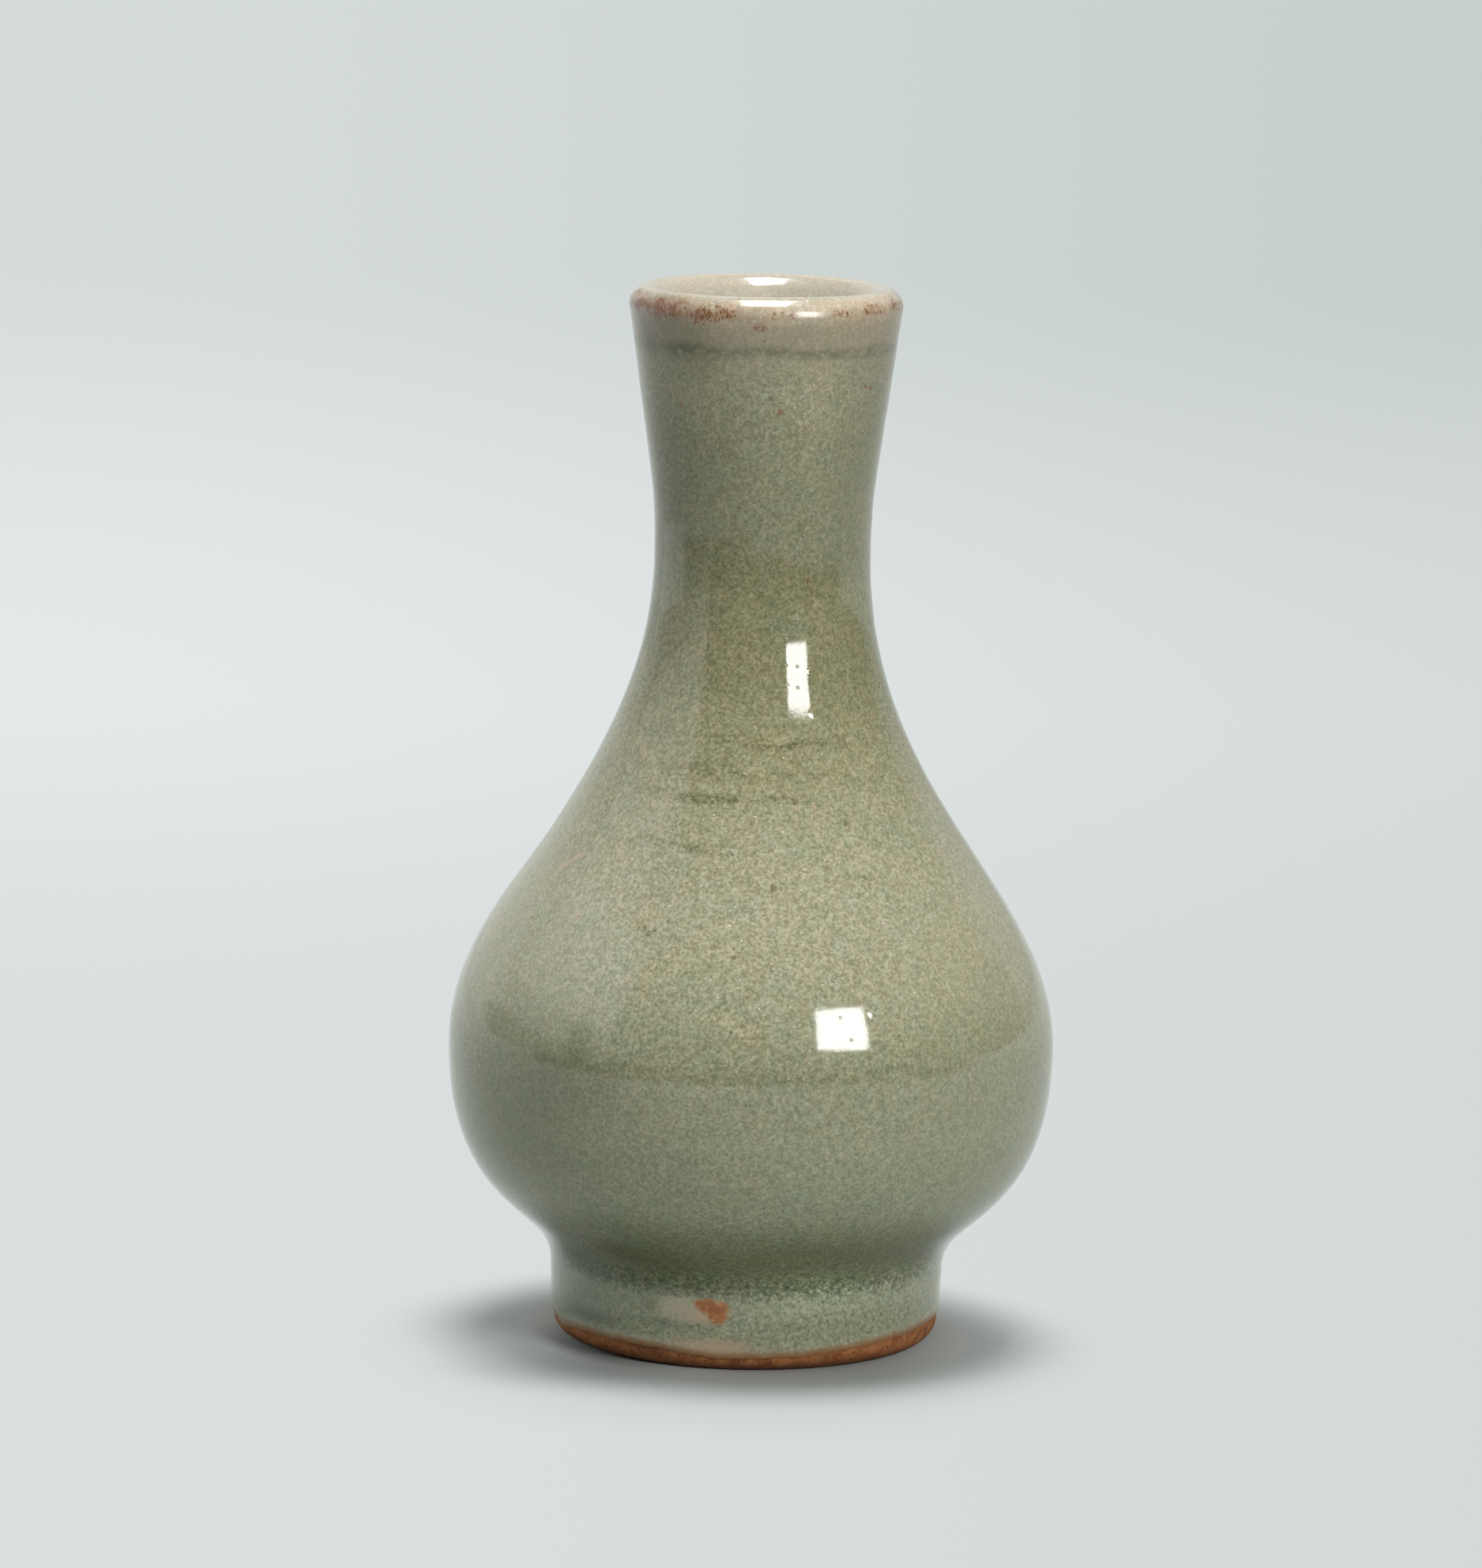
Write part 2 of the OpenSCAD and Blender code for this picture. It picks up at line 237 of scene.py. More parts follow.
def hand_waves(z, angle):
    """How far the finished outside leaves the outline, in millimetres: sines of height and angle."""
    oval = OVAL * np.cos(2 * angle - 0.9) + THREE_SIDED * np.cos(3 * angle + 0.4 + z / 40)
    wander = WANDER * hump(z, WANDER_Z, WANDER_W) * np.sin(angle)
    slump = humps(z, LEFT_SLUMPS) * (0.5 - 0.5 * np.sin(angle)) ** 2
    turns = 2 * np.pi * z / SPIRAL_PITCH
    spiral = SPIRAL * np.sin(turns - angle + 0.9 * np.sin(angle + z / 30))
    ripple = RIPPLE * np.sin(0.9 * z + 7 * angle) * np.sin(0.23 * z - 3 * angle)
    ripple += CROSS_RIPPLE * np.sin(0.55 * z - 11 * angle + 1.0) * np.sin(5 * angle + 0.4 * z)
    cove = np.sin(4 * angle + 0.7) * np.sin(3 * angle + 2.1) * hump(z, COVE_WAVE_Z, COVE_WAVE_W)
    steady = ramp(*STEADY_FOOT, z) * (1 - STEADY_SHARE * ramp(*STEADY_MOUTH, z))
    return (oval + wander + slump + spiral + ripple) * steady + COVE_WAVE * cove


def lip_wave(z, angle):
    """How far the lip rises and falls on its way round the mouth: a sum of sines, near the lip only."""
    return waves(angle, LIP_WAVES) * ramp(*LIP_WAVE_Z, z)


def glaze_edge(angle):
    """Height of the wavering lower edge of the glaze: slow swings, three humps and a fine tremble."""
    degrees = np.degrees(np.angle(np.exp(1j * angle)))
    front_swing = np.cos(2 * angle - 0.5) * np.cos(angle / 2) ** 2
    slow = GLAZE_LINE_Z + EDGE_SWING * (np.sin(angle - 0.15) - front_swing)
    return slow + humps(degrees, EDGE_BUMPS) + waves(angle, EDGE_TREMBLE)


front = np.radians(np.arange(-75, 76, 15))
print("Glaze edge across the front:", np.round(glaze_edge(front), 2))

# %% [markdown]
# ## From a profile to a mesh
#
# A profile carried round the axis gives a grid: rows along the profile and columns round the pot.
# Blender's Screw modifier could do it for a plain profile, but these rows change round the pot, so
# the points come from one array expression and the faces are index arithmetic on that grid. A
# closed profile gives a ring, whose last row joins the first. A profile that starts and ends on
# the axis gives a dome, whose first and last rows shrink to one point each.
#
# Angle 0 faces the camera and grows to the right, so x is the sine and y is minus the cosine.

# %% Grid meshes
COLUMNS = 312
SHARP_ANGLE = math.radians(38)


def angles_round(columns):
    """Evenly spaced angles round the axis."""
    return np.arange(columns) * 2 * np.pi / columns


ANGLES = angles_round(COLUMNS)


def turned_grid(radius, height, angles=ANGLES):
    """Points of a turned surface in metres, from radius and height arrays of rows by columns."""
    x = radius * np.sin(angles)
    y = -radius * np.cos(angles)
    return MM * np.stack([x, y, height * np.ones_like(x)], axis=-1)


def quads_between(rows, columns=COLUMNS, closed=False):
    """Corner numbers of the faces between neighbouring rows, listed so that they face outwards."""
    row = np.arange(rows if closed else rows - 1)[:, None]
    above = (row + 1) % rows
    column = np.arange(columns)
    beside = (column + 1) % columns
    low_side = [row * columns + column, row * columns + beside]
    high_side = [above * columns + beside, above * columns + column]
    return np.stack(low_side + high_side, axis=-1).reshape(-1, 4)


def pole_fan(pole, start, columns=COLUMNS, before=False):
    """Triangles from a pole to the row that starts at a point number; the pole lies after or before it."""
    column = start + np.arange(columns)
    beside = np.roll(column, -1)
    sides = [beside, column] if before else [column, beside]
    return np.stack([np.full(columns, pole), *sides], axis=-1)


def mesh_piece(name, points, faces):
    """A smooth mesh object at the origin, from an array of points and a list of face arrays."""
    mesh = bpy.data.meshes.new(name)
    sizes = np.concatenate([np.full(len(block), block.shape[1]) for block in faces])
    corners = np.concatenate([block.ravel() for block in faces])
    mesh.vertices.add(len(points))
    mesh.vertices.foreach_set("co", points.astype(np.float32).ravel())
    mesh.loops.add(len(corners))
    mesh.loops.foreach_set("vertex_index", corners.astype(np.int32))
    mesh.polygons.add(len(sizes))
    mesh.polygons.foreach_set("loop_start", (np.cumsum(sizes) - sizes).astype(np.int32))
    mesh.polygons.foreach_set("use_smooth", np.ones(len(sizes), bool))
    mesh.update(calc_edges=True)
    mesh.validate()
    mesh.set_sharp_from_angle(angle=SHARP_ANGLE)
    piece = bpy.data.objects.new(name, mesh)
    bpy.context.scene.collection.objects.link(piece)
    print(name, "points", len(points), "faces", len(sizes))
    return piece


def ring_piece(name, radius, height):
    """A closed profile carried round the axis."""
    grid = turned_grid(radius, height)
    return mesh_piece(name, grid.reshape(-1, 3), [quads_between(len(grid), closed=True)])


def dome_piece(name, radius, height):
    """A profile that begins and ends on the axis, carried round it, with both poles closed."""
    grid = turned_grid(radius[1:-1], height[1:-1])
    count = len(grid) * COLUMNS
    poles = MM * np.array([[0.0, 0.0, height[0, 0]], [0.0, 0.0, height[-1, 0]]])
    fans = [pole_fan(count, 0, before=True), pole_fan(count + 1, count - COLUMNS)]
    return mesh_piece(name, np.vstack([grid.reshape(-1, 3), poles]), [quads_between(len(grid)), *fans])


def rows_of(profile):
    """A profile's radii and heights as rows by columns, ready to take a change round the pot."""
    return profile[:, :1] * np.ones(COLUMNS), profile[:, 1:] * np.ones(COLUMNS)


print("Columns round the pot:", COLUMNS)

# %% [markdown]
# ## The green coat
#
# The outer glaze is one thin shell. Its visible side starts at the wavering lower edge, climbs the
# foot, the belly and the neck and ends on the crest of the lip. Its hidden side comes back down on
# the clay. Rows lie closer together in the cove and round the lip, where the outline turns fast.
# The lower edge is moved up and down by stretching the rows of the foot wall, and the height above
# it is kept as a measure of the mesh, for the finish to read.

# %% Outer glaze
EDGE_BLEND_Z, COVE_END_Z, EDGE_CROWDING = 10.0, 24.0, 1.3
FOOT_ROWS, COVE_ROWS, BODY_ROWS, LIP_ROWS = 22, 30, 168, 30
HIDDEN_FOOT_ROWS, HIDDEN_BODY_ROWS, HIDDEN_LIP_ROWS = 22, 40, 10
CREST = math.pi / 2
LIP_FLATS = ((0.055, 8, 13), (0.16, 42, 26), (0.16, 135, 26))
EDGE_ROLL = ((0.10, 0.7, 0.6), (-0.16, 0.0, 0.22))
EDGE_Z = glaze_edge(ANGLES)


def lip_arc(start, end, depth, steps):
    """Points on the lip's rounding between two angles, at a depth under the glaze."""
    a = np.linspace(start, end, steps)
    radius = (LIP_ROUND - depth) * np.ones(steps)
    return LIP_CENTRE + radius[:, None] * np.stack([np.cos(a), np.sin(a)], axis=-1)


def lip_wear(start, end, steps):
    """Depth by which the wet lip was sponged flatter in three places: a hump of angle for each."""
    return humps(np.degrees(np.linspace(start, end, steps)), LIP_FLATS)


def follow_edge(height):
    """Moves the rows of the foot wall so that the lowest one lies on the wavering edge."""
    share = 1 - ramp(GLAZE_LINE_Z, EDGE_BLEND_Z, height)
    return height + share * (EDGE_Z - GLAZE_LINE_Z)


foot_steps = np.linspace(0, 1, FOOT_ROWS)[:-1] ** EDGE_CROWDING
visible_z = np.concatenate([
    GLAZE_LINE_Z + (EDGE_BLEND_Z - GLAZE_LINE_Z) * foot_steps,
    np.linspace(EDGE_BLEND_Z, COVE_END_Z, COVE_ROWS)[:-1],
    np.linspace(COVE_END_Z, LIP_START[1], BODY_ROWS),
])
hidden_z = np.concatenate([
    np.linspace(LIP_START[1], COVE_END_Z, HIDDEN_BODY_ROWS)[:-1],
    np.linspace(COVE_END_Z, GLAZE_LINE_Z, HIDDEN_FOOT_ROWS),
])
visible_lip = lip_arc(-MOUTH_FLARE, CREST, lip_wear(-MOUTH_FLARE, CREST, LIP_ROWS), LIP_ROWS)[1:]
hidden_lip = lip_arc(CREST, -MOUTH_FLARE, EDGE_GLAZE, HIDDEN_LIP_ROWS)[:-1]

r, z = rows_of(np.vstack([outside_point(visible_z), visible_lip]))
z = follow_edge(z)
r = r + hand_waves(z, ANGLES) + humps(z - EDGE_Z, EDGE_ROLL)
z = z + lip_wave(z, ANGLES)
hidden_wall = outside_point(hidden_z, glaze_depth(hidden_z))
hidden_r, hidden_height = rows_of(np.vstack([hidden_lip, hidden_wall]))
coat_r = np.vstack([r, hidden_r])
coat_height = np.vstack([z, follow_edge(hidden_height)])
outer_glaze = ring_piece("outer_glaze_coat", coat_r, coat_height)
above_edge = outer_glaze.data.attributes.new("above_edge", "FLOAT", "POINT")
above_edge.data.foreach_set("value", (coat_height - EDGE_Z).astype(np.float32).ravel())

# %% [markdown]
# ## The lining
#
# The inside was glazed by pouring glaze in and out. Only its upper end shows, at the mouth, but the
# whole lining is made: a bowl at the bottom, a wall that follows the outside at the thickness of
# the body, a soft swelling below the mouth and the inner half of the lip. It meets the green coat
# at the crest, where both coats take the same rise and fall, so that no step shows.

# %% Inner glaze
NECK_WALL, BELLY_WALL = 3.6, 4.2
CLAY_FLOOR_Z, BOWL_FLAT, BOWL_RISE = 15.0, 20.0, 14.0
BELLY_SEAM_IN_Z, NECK_SEAM_IN_Z, HALF_SLIP = 40.0, 74.0, 0.3
SEAM_RIDGE, SEAM_RIDGE_W = 0.8, 2.2
SEAM_RIDGES = [(SEAM_RIDGE, z + HALF_SLIP, SEAM_RIDGE_W) for z in (BELLY_SEAM_IN_Z, NECK_SEAM_IN_Z)]
INNER_END = math.pi - MOUTH_FLARE
FINGER_PITCH, FINGER_DEPTH = 6.1, 0.05
FINGER_RISE, FINGER_FALL = (45.0, 60.0), (126.0, 136.0)
MOUTH_SWELL, SWELL_RISE, SWELL_FALL = 0.9, (122.0, 132.0), (135.0, 139.6)
WORN_LEAST, WORN_ANGLE, WORN_REACH = 0.2, math.radians(184), math.radians(10)
CLAY_BOWL_ROWS, CLAY_WALL_ROWS, BOWL_ROWS, WALL_ROWS = 20, 44, 24, 84


def wall_depth(z):
    """Depth from the finished outside to the finished inside, with a ridge at each seam."""
    neck = ramp(BELLY_Z, WAIST_Z, z)
    clay = BELLY_WALL * (1 - neck) + NECK_WALL * neck
    return OUTER_GLAZE + INNER_GLAZE + clay + humps(z, SEAM_RIDGES)


def bowl(depth, steps):
    """The inside of the bowl from the axis to the belly seam, at a depth under the lining."""
    top = outside_point(BELLY_SEAM_IN_Z, wall_depth(BELLY_SEAM_IN_Z) - depth)
    floor_z = CLAY_FLOOR_Z + INNER_GLAZE - depth
    return cubic([(0.0, floor_z), (BOWL_FLAT, floor_z), top - np.array([0.0, BOWL_RISE]), top], steps)


clay_z = np.linspace(BELLY_SEAM_IN_Z, LIP_START[1], CLAY_WALL_ROWS)[1:]
clay_lip_depth = np.linspace(INNER_GLAZE, EDGE_GLAZE, HIDDEN_LIP_ROWS)
clay_r, clay_height = rows_of(np.vstack([
    bowl(INNER_GLAZE, CLAY_BOWL_ROWS),
    outside_point(clay_z, wall_depth(clay_z) - INNER_GLAZE),
    lip_arc(INNER_END, CREST, clay_lip_depth, HIDDEN_LIP_ROWS)[1:],
]))
lined_z = np.linspace(LIP_START[1], BELLY_SEAM_IN_Z, WALL_ROWS)
round_lip = lip_arc(CREST, INNER_END, 0.0, LIP_ROWS)[:-1]
worn_lip = lip_arc(CREST, INNER_END, lip_wear(CREST, INNER_END, LIP_ROWS), LIP_ROWS)[:-1]
r, z = rows_of(np.vstack([
    round_lip,
    outside_point(lined_z, wall_depth(lined_z)),
    bowl(0.0, BOWL_ROWS)[::-1][1:],
]))
worn_share = WORN_LEAST + (1 - WORN_LEAST) * hump(ANGLES, WORN_ANGLE, WORN_REACH)
r[:len(round_lip)] += (worn_lip - round_lip)[:, :1] * worn_share
z[:len(round_lip)] += (worn_lip - round_lip)[:, 1:] * worn_share
finger_rings = np.sin(2 * np.pi * z / FINGER_PITCH - ANGLES) * between(FINGER_RISE, FINGER_FALL, z)
r = r + FINGER_DEPTH * finger_rings - MOUTH_SWELL * between(SWELL_RISE, SWELL_FALL, z)
z = z + lip_wave(z, ANGLES)
inner_glaze = dome_piece("inner_glaze_coat", np.vstack([clay_r, r]), np.vstack([clay_height, z]))

# %% [markdown]
# ## The foot ring
#
# The foot was turned on the wheel and its lower edge wiped clean of glaze, so a band of clay shows.
# Its profile is closed: the standing face, the rounded outer edge, the wall that runs up under the
# glaze, the bevelled seat of the bowl and the inside wall. A trimming tool and years of use leave
# it slightly scraped, so the bare edge dips inwards in short shallow nicks and never bulges.

# %% Foot ring
FOOT_ROUND, FOOT_SEAM_Z, SLIP = 2.5, 10.4, 0.6
BORE_R, BORE_DRAFT, BORE_ROUND = 19.2, math.radians(5), 1.0
RECESS_Z = 8.0
NICK, SCRAPE = 0.05, 0.07
SCRAPED_RISE, SCRAPED_FALL, OUTER_SIDE = (0.15, 0.9), (2.4, 3.4), (BORE_R + 3.0, BORE_R + 5.0)
ROUND_ROWS, FOOT_WALL_ROWS, SEAT_ROWS, BORE_ROWS, STANDING_ROWS = 16, 14, 8, 10, 8


def bore_wall(z):
    """Points on the foot ring's inside wall at heights z: a cone that narrows upwards."""
    z = np.asarray(z, float)
    return np.stack([BORE_R - z * math.tan(BORE_DRAFT), z], axis=-1)


def scraped(z, angle):
    """How far the bare edge lies inside the turned outline: products of sines, cut off at zero."""
    nicks = np.sin(23 * angle + 1.3 * z) * np.sin(41 * angle - 0.8 * z + 0.6)
    scrapes = np.sin(6 * angle + 0.5) * np.sin(9 * angle + 1.7 + z)
    depth = NICK * np.clip(nicks, 0, 1) + SCRAPE * np.clip(scrapes, 0, 1)
    return depth * between(SCRAPED_RISE, SCRAPED_FALL, z)


quarter = np.linspace(0, math.pi / 2, ROUND_ROWS)
edge_r, edge_z = outside_point(FOOT_ROUND, glaze_depth(FOOT_ROUND))
outer_edge = np.stack([
    edge_r - FOOT_ROUND * (1 - np.sin(quarter)), edge_z * (1 - np.cos(quarter)),
], axis=-1)
inner_edge = np.stack([
    bore_wall(BORE_ROUND)[0] + BORE_ROUND * (1 - np.cos(quarter)), BORE_ROUND * (1 - np.sin(quarter)),
], axis=-1)
wall_z = np.linspace(FOOT_ROUND, FOOT_SEAM_Z, FOOT_WALL_ROWS)[1:]
foot_wall = outside_point(wall_z, glaze_depth(wall_z))
foot_r, foot_z = rows_of(np.vstack([
    outer_edge,
    foot_wall,
    np.linspace(foot_wall[-1], bore_wall(RECESS_Z - SLIP), SEAT_ROWS)[1:],
    bore_wall(np.linspace(RECESS_Z - SLIP, BORE_ROUND, BORE_ROWS)[1:-1]),
    inner_edge,
    np.linspace(inner_edge[-1], outer_edge[0], STANDING_ROWS)[1:-1],
]))
foot_r = foot_r - scraped(foot_z, ANGLES) * ramp(*OUTER_SIDE, foot_r)
foot_ring = ring_piece("foot_ring_clay", foot_r, foot_z)

# %% [markdown]
# ## Glaze under the base
#
# The recess under such a vase is glazed too, with its own lower edge inside the ring. The coat lies
# on the floor of the recess, turns down in a rounded corner where glaze gathers, and thins out on
# the wall. The profile starts and ends on the axis, so it is a dome with closed poles.

# %% Base glaze
BASE_LINE_Z, BASE_ROUND, BASE_STEADY_Z = 3.0, 1.6, RECESS_Z - 2.0
BASE_EDGE_WAVES = ((0.25, 3, 1.0), (0.15, 7, 0.0))
CEILING_ROWS, BASE_WALL_ROWS, BASE_CLAY_ROWS = 16, 8, 10
THIN_COAT = np.array([EDGE_GLAZE, 0.0])

ceiling_z = RECESS_Z - BASE_GLAZE
corner_z = ceiling_z - BASE_ROUND
corner_turn = BASE_ROUND * np.stack([np.cos(quarter) - 1, np.sin(quarter)], axis=-1)
corner_arc = bore_wall(corner_z) - THIN_COAT + corner_turn
r, z = rows_of(np.vstack([
    np.linspace((0.0, ceiling_z), corner_arc[-1], CEILING_ROWS)[:-1],
    corner_arc[::-1],
    bore_wall(np.linspace(corner_z, BASE_LINE_Z, BASE_WALL_ROWS)[1:]) - THIN_COAT,
    bore_wall(np.linspace(BASE_LINE_Z, RECESS_Z, BASE_WALL_ROWS)),
    np.linspace(bore_wall(RECESS_Z), (0.0, RECESS_Z), BASE_CLAY_ROWS)[1:],
]))
edge_share = 1 - ramp(BASE_LINE_Z, BASE_STEADY_Z, z)
base_glaze = dome_piece("base_glaze_coat", r, z + edge_share * waves(ANGLES, BASE_EDGE_WAVES))

# %% [markdown]
# ## Shader sums
#
# Finishes are easier to read as sums than as boxes and wires. One small class wraps an output
# socket. Adding, subtracting, multiplying or dividing such values adds the Math nodes, and the
# reflected forms let a plain number stand on the left, as in 1 - mask. Every other node comes from
# the one method that names the node's type, its settings and its inputs.

# %% Shader values
class Value:
    """An output socket of a node tree that can be used in sums, or the tree alone as a start."""

    def __init__(self, tree, socket=None):
        self.tree = tree
        self.socket = socket

    def node(self, kind, settings=None, inputs=None, out=0):
        """Adds a node of a kind, sets it up, fills its inputs and gives one of its outputs, if any."""
        made = self.tree.nodes.new(kind)
        for name, setting in (settings or {}).items():
            if name == "stops":
                set_stops(made.color_ramp, setting)
            else:
                setattr(made, name, setting)
        for key, value in (inputs or {}).items():
            if isinstance(value, Value):
                self.tree.links.new(value.socket, made.inputs[key])
            else:
                made.inputs[key].default_value = value
        return Value(self.tree, made.outputs[out] if len(made.outputs) else None)

    def math(self, operation, first, second):
        """A Math node on two values or numbers."""
        return self.node("ShaderNodeMath", {"operation": operation}, {0: first, 1: second})

    def vector(self, operation, other=(0.0, 0.0, 0.0)):
        """Vector Math with another vector. A length or a distance is a plain number."""
        out = "Value" if operation in ("LENGTH", "DISTANCE") else "Vector"
        return self.node("ShaderNodeVectorMath", {"operation": operation}, {0: self, 1: other}, out)

    def __abs__(self):
        return self.math("ABSOLUTE", self, 0.0)

    def __add__(self, other):
        return self.math("ADD", self, other)

    def __sub__(self, other):
        return self.math("SUBTRACT", self, other)

    def __rsub__(self, other):
        return self.math("SUBTRACT", other, self)

    def __mul__(self, other):
        return self.math("MULTIPLY", self, other)

    def __truediv__(self, other):
        return self.math("DIVIDE", self, other)

    __radd__ = __add__
    __rmul__ = __mul__


def set_stops(colour_ramp, stops):
    """Gives a colour ramp its stops, each a place from 0 to 1 and a colour."""
    while len(colour_ramp.elements) < len(stops):
        colour_ramp.elements.new(1.0)
    for element, (place, colour) in zip(colour_ramp.elements, stops):
        element.position = place
        element.color = colour


def paint(red, green, blue):
    """A colour as a painter reads it, 0 to 255 on the screen, turned into linear light."""
    channels = np.array([red, green, blue]) / 255
    linear = np.where(channels <= 0.04045, channels / 12.92, ((channels + 0.055) / 1.055) ** 2.4)
    return (*linear.tolist(), 1.0)


print("Mid grey in linear light:", round(paint(128, 128, 128)[0], 3))

# %% [markdown]
# The helpers below are the few shader words that the finishes share. Positions are read in object
# coordinates and turned into millimetres, so every pattern size below is a real size. Noise takes
# its grain as a length: a grain of 0.7 is a mottle about 0.7 mm across.

# %% Shader words
def start_finish(name):
    """A new empty material, and the piece's own position in millimetres."""
    material = bpy.data.materials.new(name)
    material.use_nodes = True
    material.node_tree.nodes.clear()
    metres = Value(material.node_tree).node("ShaderNodeTexCoord", out="Object")
    return material, metres.vector("MULTIPLY", (1 / MM,) * 3)


def show_surface(place, surface):
    """Puts a shader on the surface of the material."""
    place.node("ShaderNodeOutputMaterial", None, {"Surface": surface})


def finish_with(place, sockets):
    """Ends a material with one shader: values are linked, and plain numbers and colours are set."""
    show_surface(place, place.node("ShaderNodeBsdfPrincipled", None, sockets))


def axis_of(place, name):
    """One coordinate of a position or a colour."""
    return place.node("ShaderNodeSeparateXYZ", None, {0: place}, "XYZ".index(name))


def noise(place, grain, detail=2.0, roughness=0.5, stretch=(1, 1, 1), shift=(0, 0, 0)):
    """Soft noise from 0 to 1, with a grain in millimetres, stretched and shifted if asked."""
    scale = tuple(1 / (grain * s) for s in stretch)
    moved = place.node("ShaderNodeMapping", None, {0: place, "Location": shift, "Scale": scale})
    inputs = {"Vector": moved, "Scale": 1.0, "Detail": detail, "Roughness": roughness}
    return place.node("ShaderNodeTexNoise", None, inputs)


def step(value, low, high):
    """A smooth step of a value from 0 at low to 1 at high."""
    inputs = {0: value, 1: low, 2: high, 3: 0.0, 4: 1.0}
    return value.node("ShaderNodeMapRange", {"interpolation_type": "SMOOTHSTEP"}, inputs)


def shaken(value, shake, amount):
    """A value moved by noise, up or down by at most half an amount."""
    return value + (shake - 0.5) * amount


def band(value, centre, width):
    """1 at the centre, falling smoothly to 0 at a distance of one width."""
    return 1 - step(abs(value - centre), 0.0, width)


def spot(place, centre, across, high, deep=None):
    """1 at a point, falling smoothly to 0 at a reach across and upwards; y may have its own reach."""
    away = place.vector("SUBTRACT", centre).vector("DIVIDE", (across, deep or across, high))
    return 1 - step(away.vector("LENGTH"), 0.0, 1.0)


def ragged(place, grain, amount):
    """Positions shaken by noise, so that a spot read from them has a torn outline."""
    inputs = {"Vector": place.vector("MULTIPLY", (1 / grain,) * 3), "Scale": 1.0, "Detail": 3.0}
    shake = place.node("ShaderNodeTexNoise", None, inputs, "Color")
    shake = shake.vector("SUBTRACT", (0.5,) * 3).vector("MULTIPLY", (2 * amount,) * 3)
    return place.vector("ADD", shake)


def blend(share, first, second, mode="MIX"):
    """A colour between two others, by a share from 0 to 1."""
    settings = {"data_type": "RGBA", "blend_type": mode}
    source = next(v for v in (share, first, second) if isinstance(v, Value))
    return source.node("ShaderNodeMix", settings, {0: share, 6: first, 7: second}, 2)


def tinted(colour, share, low, high):
    """A colour multiplied by a tint that goes from low to high with a share."""
    return blend(1.0, colour, blend(share, (*low, 1.0), (*high, 1.0)), "MULTIPLY")


def skin_of(place, heights_mm):
    """A normal from a height in millimetres."""
    inputs = {"Height": heights_mm, "Distance": MM, "Strength": 1.0}
    return place.node("ShaderNodeBump", None, inputs)


print("Shader words:", [word.__name__ for word in (noise, step, shaken, band, spot, ragged, blend, tinted)])

# %% [markdown]
# ## The green glaze
#
# Celadon gets its green from a little iron in the glaze. Where the coat is thick it is darker and
# more olive, and where it thins over an edge the buff clay shows through. So the first layer of the
# finish is a wash of colour by height: grey-green on the foot, dark olive in the cove, warm and
# pale on the belly, green on the neck, greyer under the lip and buff on the lip itself.
#
# A colour ramp holds the wash. The height is shaken by noise before it enters the ramp, so that no colour
# ends on a ruled line. Soft tints, each with its own place and reach, then change the wash. Most of them
# are painted shade, darker on the left and at the right edge of the neck, and painted light, lighter on the
# right under the lip; a few are the glaze's own marks.

# %% Colours by height
FOOT_GREEN = paint(157, 160, 129)
COVE_EDGE = paint(119, 124, 95)
COVE_OLIVE = paint(112, 116, 87)
LOW_GREEN = paint(131, 134, 106)
BELLY_GREEN = paint(148, 149, 119)
BELLY_TAN = paint(161, 160, 131)
SHOULDER_TAN = paint(165, 163, 135)
NECK_TAN = paint(155, 153, 121)
NECK_SAGE = paint(141, 140, 107)
NECK_DARK = paint(130, 129, 98)
NECK_GREEN = paint(129, 128, 97)
LIP_GREEN = paint(144, 140, 112)
LIP_GREY = paint(149, 139, 115)
LIP_BUFF = paint(172, 154, 130)
LIP_CREAM = paint(192, 176, 153)
CREST_CREAM = paint(195, 187, 168)
WASH = [
    (0.0, FOOT_GREEN), (9.8, FOOT_GREEN), (11.6, COVE_EDGE), (14.0, COVE_OLIVE), (17.0, COVE_OLIVE),
    (23.0, LOW_GREEN), (32.0, BELLY_GREEN), (40.0, BELLY_GREEN), (50.0, BELLY_TAN), (60.0, SHOULDER_TAN),
    (70.0, BELLY_TAN), (80.0, NECK_TAN), (90.0, NECK_SAGE), (99.0, NECK_SAGE), (106.0, NECK_DARK),
    (111.0, NECK_GREEN), (121.0, NECK_GREEN), (131.0, LIP_GREEN), (134.0, LIP_GREY), (135.8, LIP_GREY),
    (137.6, LIP_BUFF), (138.8, LIP_CREAM), (140.0, CREST_CREAM),
]
WAVER = 2.0
SAG_SIDE, SAG = ((-8.0, -25.0, 10.0), 11.0, 8.0), 0.6
RIGHT_SIDE, RIGHT_RISE, LEAN_END = (-2.0, 20.0), 0.9, (14.0, 22.0)
WARM_SIDE, WARM_SHARE = ((5.0, -15.0, 126.0), 11.0, 26.0), 0.45
NO_TINT = (1.0, 1.0, 1.0)
